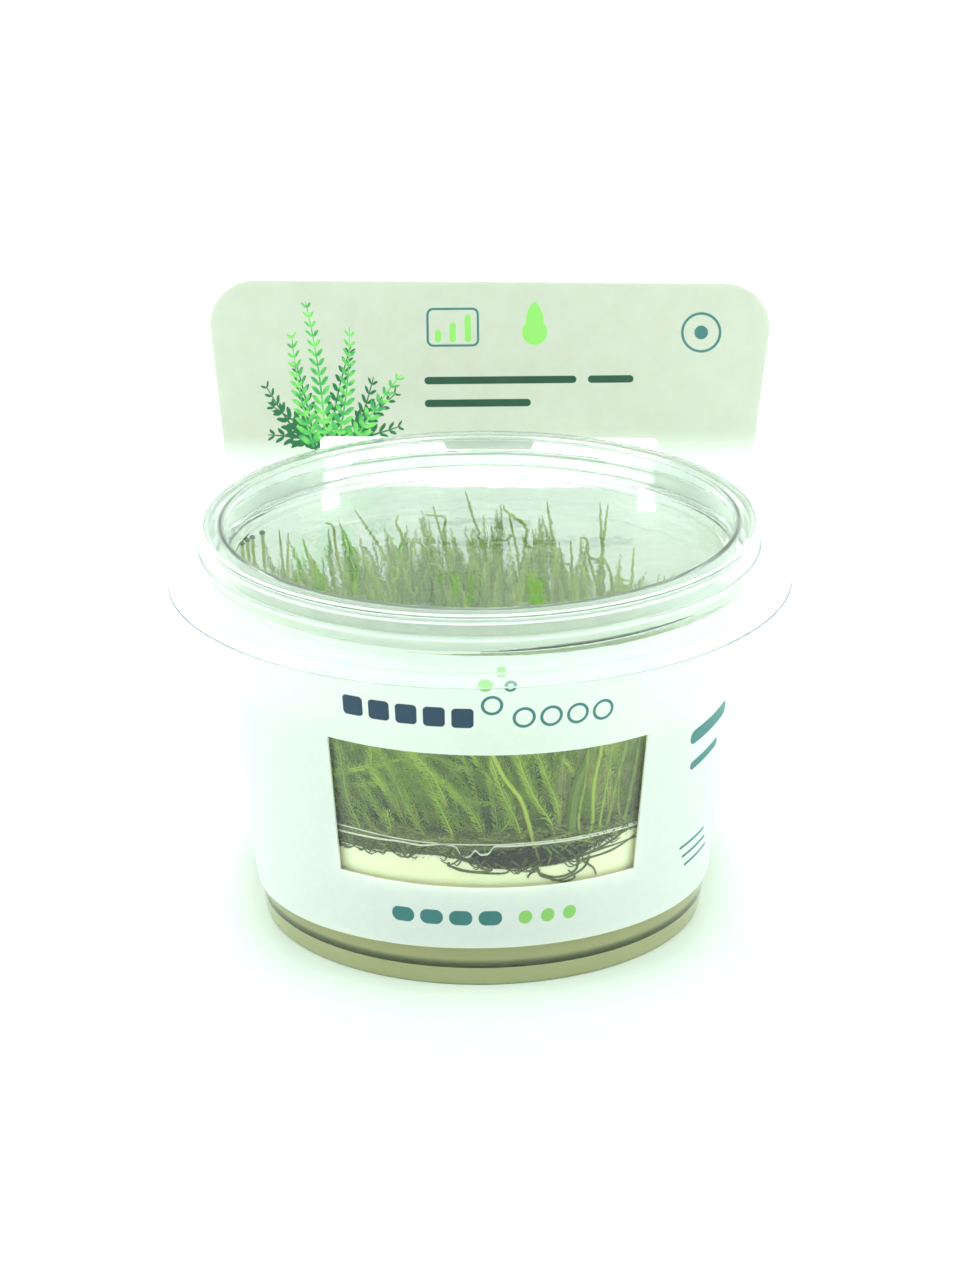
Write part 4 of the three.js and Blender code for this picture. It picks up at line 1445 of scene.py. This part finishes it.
def dark_lens(growth, count):
    """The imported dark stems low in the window, right of its middle."""
    for i in range(count):
        x = rng.uniform(-2.5, 20.5)
        out = (x - 9.0) / 11.5
        thick = 2.7 * math.sqrt(max(1 - out * out, 0.02))
        z = 23.2 + 0.06 * (x - 9) + rng.uniform(-thick, thick)
        points = against_wall([(x - 3.0, z - 0.8), (x, z), (x + 3.0, z + 0.9)], rng.uniform(0.3, 5.0))
        points[:, 2] = np.clip(points[:, 2], 19.4, 27.0)
        path = curve(points, 9)
        growth.stem(path, 0.2, 0.1, rng.uniform(0, 1), (0.0, 0.05), sides=4)
        growth.leaves(path, 0.3, 0.7, 0.3, 35 * DEG, rng.uniform(0, 1), (0.0, 0.05))


def grown_piece(name, material, *parts):
    """One mesh of moss, from functions that each add some of it and the numbers that they take."""
    growth = Growth()
    for add, *numbers in parts:
        add(growth, *numbers)
    as_object(name, growth.mesh(name), [material])


def moss_pieces():
    green = leaf_material("moss_leaf", (0.2, 0.25, 0.03), (0.34, 0.55, 0.045), (0.46, 0.61, 0.09))
    # painted light: a paler, brighter copy of the moss colour for the fronds pressed against the wall,
    # where more light reaches them
    window_lit = leaf_material("moss_lit_by_window", (0.46, 0.46, 0.16), (0.55, 0.71, 0.11), (0.66, 0.8, 0.15),
                         dim=(0.7, 0.74, 0.68))
    # painted light: a pale grey-yellow copy of the moss colour stands in for the haze of light over fronds
    # seen deep through the wall
    hazed = leaf_material("moss_painted_haze", (0.76, 0.73, 0.46), (0.86, 0.89, 0.44), (0.92, 0.95, 0.5),
                          dim=(0.86, 0.86, 0.84))
    vivid = leaf_material("moss_vivid", (0.36, 0.5, 0.12), (0.5, 0.66, 0.1), (0.66, 0.74, 0.16), 0.4)
    dark = leaf_material("moss_root", (0.03, 0.042, 0.012), (0.09, 0.11, 0.03), (0.18, 0.22, 0.05),
                         index=1.12)
    brown = leaf_material("moss_underside", (0.2, 0.22, 0.06), (0.42, 0.47, 0.16), (0.54, 0.62, 0.22),
                          index=1.2)
    as_object("moss_mat", with_growth(lumpy_core(), 0.08, 0.3), [green], "flame_moss")
    as_object("moss_caps", with_growth(shoot_caps(), 0.0, 0.1), [dark])
    grown_piece("moss_fronds_inner", green, (body_fronds, 330, 0, 19))
    grown_piece("moss_fronds_middle", green, (body_fronds, 420, 19, 29))
    grown_piece("moss_fronds_outer", green, (body_fronds, 430, 29, 36.5))
    grown_piece("moss_fronds_wall", window_lit, (window_fronds,), (edge_fronds, 170, -55 * DEG, 55 * DEG),
                (edge_fronds, 140, 55 * DEG, 305 * DEG))
    grown_piece("moss_fronds_hazed", hazed, (hazed_fronds, 170))
    grown_piece("moss_tips", green, (long_shoots,), (tall_tips, 90), (side_fronds,))
    grown_piece("moss_strands", vivid, (window_strands,))
    grown_piece("moss_roots", dark, (roots, 70), (dark_lens, 420), (left_strand,))
    grown_piece("moss_underside", brown, (root_loops,), (edge_rootlets, 70), (underside, 1900))


# Water that has condensed inside the cup, as (x, height, radius) on the wall
WALL_DROPS = (
    (-4.3, 39.7, 0.5), (-9.6, 40.6, 0.22), (0.2, 29.8, 0.25), (-14.4, 29.9, 0.2), (3.0, 28.4, 0.18),
    (-11.4, 27.4, 0.3), (-10.6, 26.9, 0.24), (6.1, 24.6, 0.32), (14.6, 28.2, 0.2), (-7.0, 42.0, 0.16),
)


def drops():
    """Small drops on the inside of the wall and under the lid."""
    bm = bmesh.new()
    places = []
    for x, z, radius in WALL_DROPS:
        r = cup_inside(z) - radius * 0.6 - 0.05
        places.append(((x, -math.sqrt(r * r - x * x), z), radius))
    for i in range(34):
        r = 39.5 * math.sqrt(rng.uniform(0.01, 1))
        turn = rng.uniform(0, 2 * math.pi)
        radius = rng.uniform(0.1, 0.26)
        z = PANEL_Z - LID_WALL - radius * 0.6 - 0.1
        places.append(((r * math.cos(turn), r * math.sin(turn), z), radius))
    for place, radius in places:
        move = Matrix.Translation(Vector(place) * MM)
        bmesh.ops.create_icosphere(bm, subdivisions=3, radius=radius * MM, matrix=move)
    mesh = finished(bm, "condensed_drops", 180 * DEG)
    as_object("condensed_drops", mesh, [droplet_material()])


# Camera, light and floor, in metres

CAMERA_PLACE = (0.00091, -0.7854, 0.3445)
CAMERA_PITCH = 0.3625
CAMERA_ROLL = -0.009
FOCAL_PIXELS = 5000
LONG_SIDE_PIXELS = 1280
TENT_COLOUR = (0.83, 1.0, 0.89)


def camera():
    data = bpy.data.cameras.new("camera")
    data.sensor_width = 36
    data.sensor_fit = "AUTO"
    data.lens = FOCAL_PIXELS / LONG_SIDE_PIXELS * data.sensor_width
    data.clip_start = 0.01
    obj = bpy.data.objects.new("camera", data)
    place = Matrix.Translation(CAMERA_PLACE)
    pitch = Matrix.Rotation(math.pi / 2 - CAMERA_PITCH, 4, "X")
    obj.matrix_world = place @ pitch @ Matrix.Rotation(CAMERA_ROLL, 4, "Z")
    bpy.context.scene.collection.objects.link(obj)
    bpy.context.scene.camera = obj


def soft_light(name, place, target, size, power, spread=math.pi):
    data = bpy.data.lights.new(name, "AREA")
    data.shape = "RECTANGLE"
    data.size, data.size_y = size
    data.energy = power
    data.spread = spread
    data.color = TENT_COLOUR
    obj = bpy.data.objects.new(name, data)
    away = (Vector(place) - Vector(target)).to_track_quat("Z", "Y")
    obj.matrix_world = Matrix.Translation(place) @ away.to_matrix().to_4x4()
    bpy.context.scene.collection.objects.link(obj)


def studio():
    """A light tent: bright all round, brightest overhead."""
    world = bpy.data.worlds.new("light_tent")
    bpy.context.scene.world = world
    world.use_nodes = True
    tree = world.node_tree
    background = tree.nodes["Background"]
    direction = tree.nodes.new("ShaderNodeTexCoord").outputs["Generated"]
    _, back, up = axes(tree, direction)
    behind = ramp(back, 0.2, 0.9)
    low = ramp(up, 0.45, 0.85, 1.0, 0.0)
    roof = ramp(up, 0.3, 1.0, 0.62, 2.2)
    background.inputs["Color"].default_value = (*TENT_COLOUR, 1)
    tree.links.new((roof + behind * low * 0.35).socket, background.inputs["Strength"])
    for side in (-1, 1):
        name = "left_panel" if side < 0 else "right_panel"
        soft_light(name, (0.62 * side, -0.1, 0.32), (0, 0, 0.05), (0.5, 0.5), 1.6)
    soft_light("backdrop_light", (0, 0.32, 0.16), (0, 0.2, 0), (0.9, 0.12), 0.9, 60 * DEG)


def floor():
    mesh = bpy.data.meshes.new("floor")
    bm = bmesh.new()
    bmesh.ops.create_grid(bm, x_segments=4, y_segments=4, size=4.0)
    bm.to_mesh(mesh)
    bm.free()
    obj = bpy.data.objects.new("floor", mesh)
    bpy.context.scene.collection.objects.link(obj)
    material, tree, shader = new_material("floor_white")
    cloud = speckle(tree, object_place(tree), 6, detail=2)
    # painted light: the floor is paler from 4 to 12 cm behind the middle, a painted pool of light behind
    # the cup
    far = ramp(axes(tree, object_place(tree))[1], 0.04, 0.12)
    near = mix(tree, cloud, (0.77, 0.77, 0.765), (0.78, 0.78, 0.775))
    tree.links.new(mix(tree, far, near, (0.92, 0.92, 0.915)), shader.inputs["Base Color"])
    shader.inputs["Roughness"].default_value = 0.6
    mesh.materials.append(material)


def tone():
    view = bpy.context.scene.view_settings
    view.view_transform = "Standard"
    view.look = "None"
    view.exposure = 0.0
    view.gamma = 1.0


def light_paths():
    """Enough bounces for light to find its way through the lid, the wall and the moss, unblurred."""
    cycles = bpy.context.scene.cycles
    cycles.blur_glossy = 0.0
    cycles.adaptive_threshold = 0.05
    cycles.max_bounces = 16
    cycles.transmission_bounces = 14
    cycles.glossy_bounces = 8
    cycles.diffuse_bounces = 4


camera()
studio()
floor()
tone()
light_paths()
cup_piece()
lid_piece()
gel_piece()
card_piece()
moss_pieces()
drops()
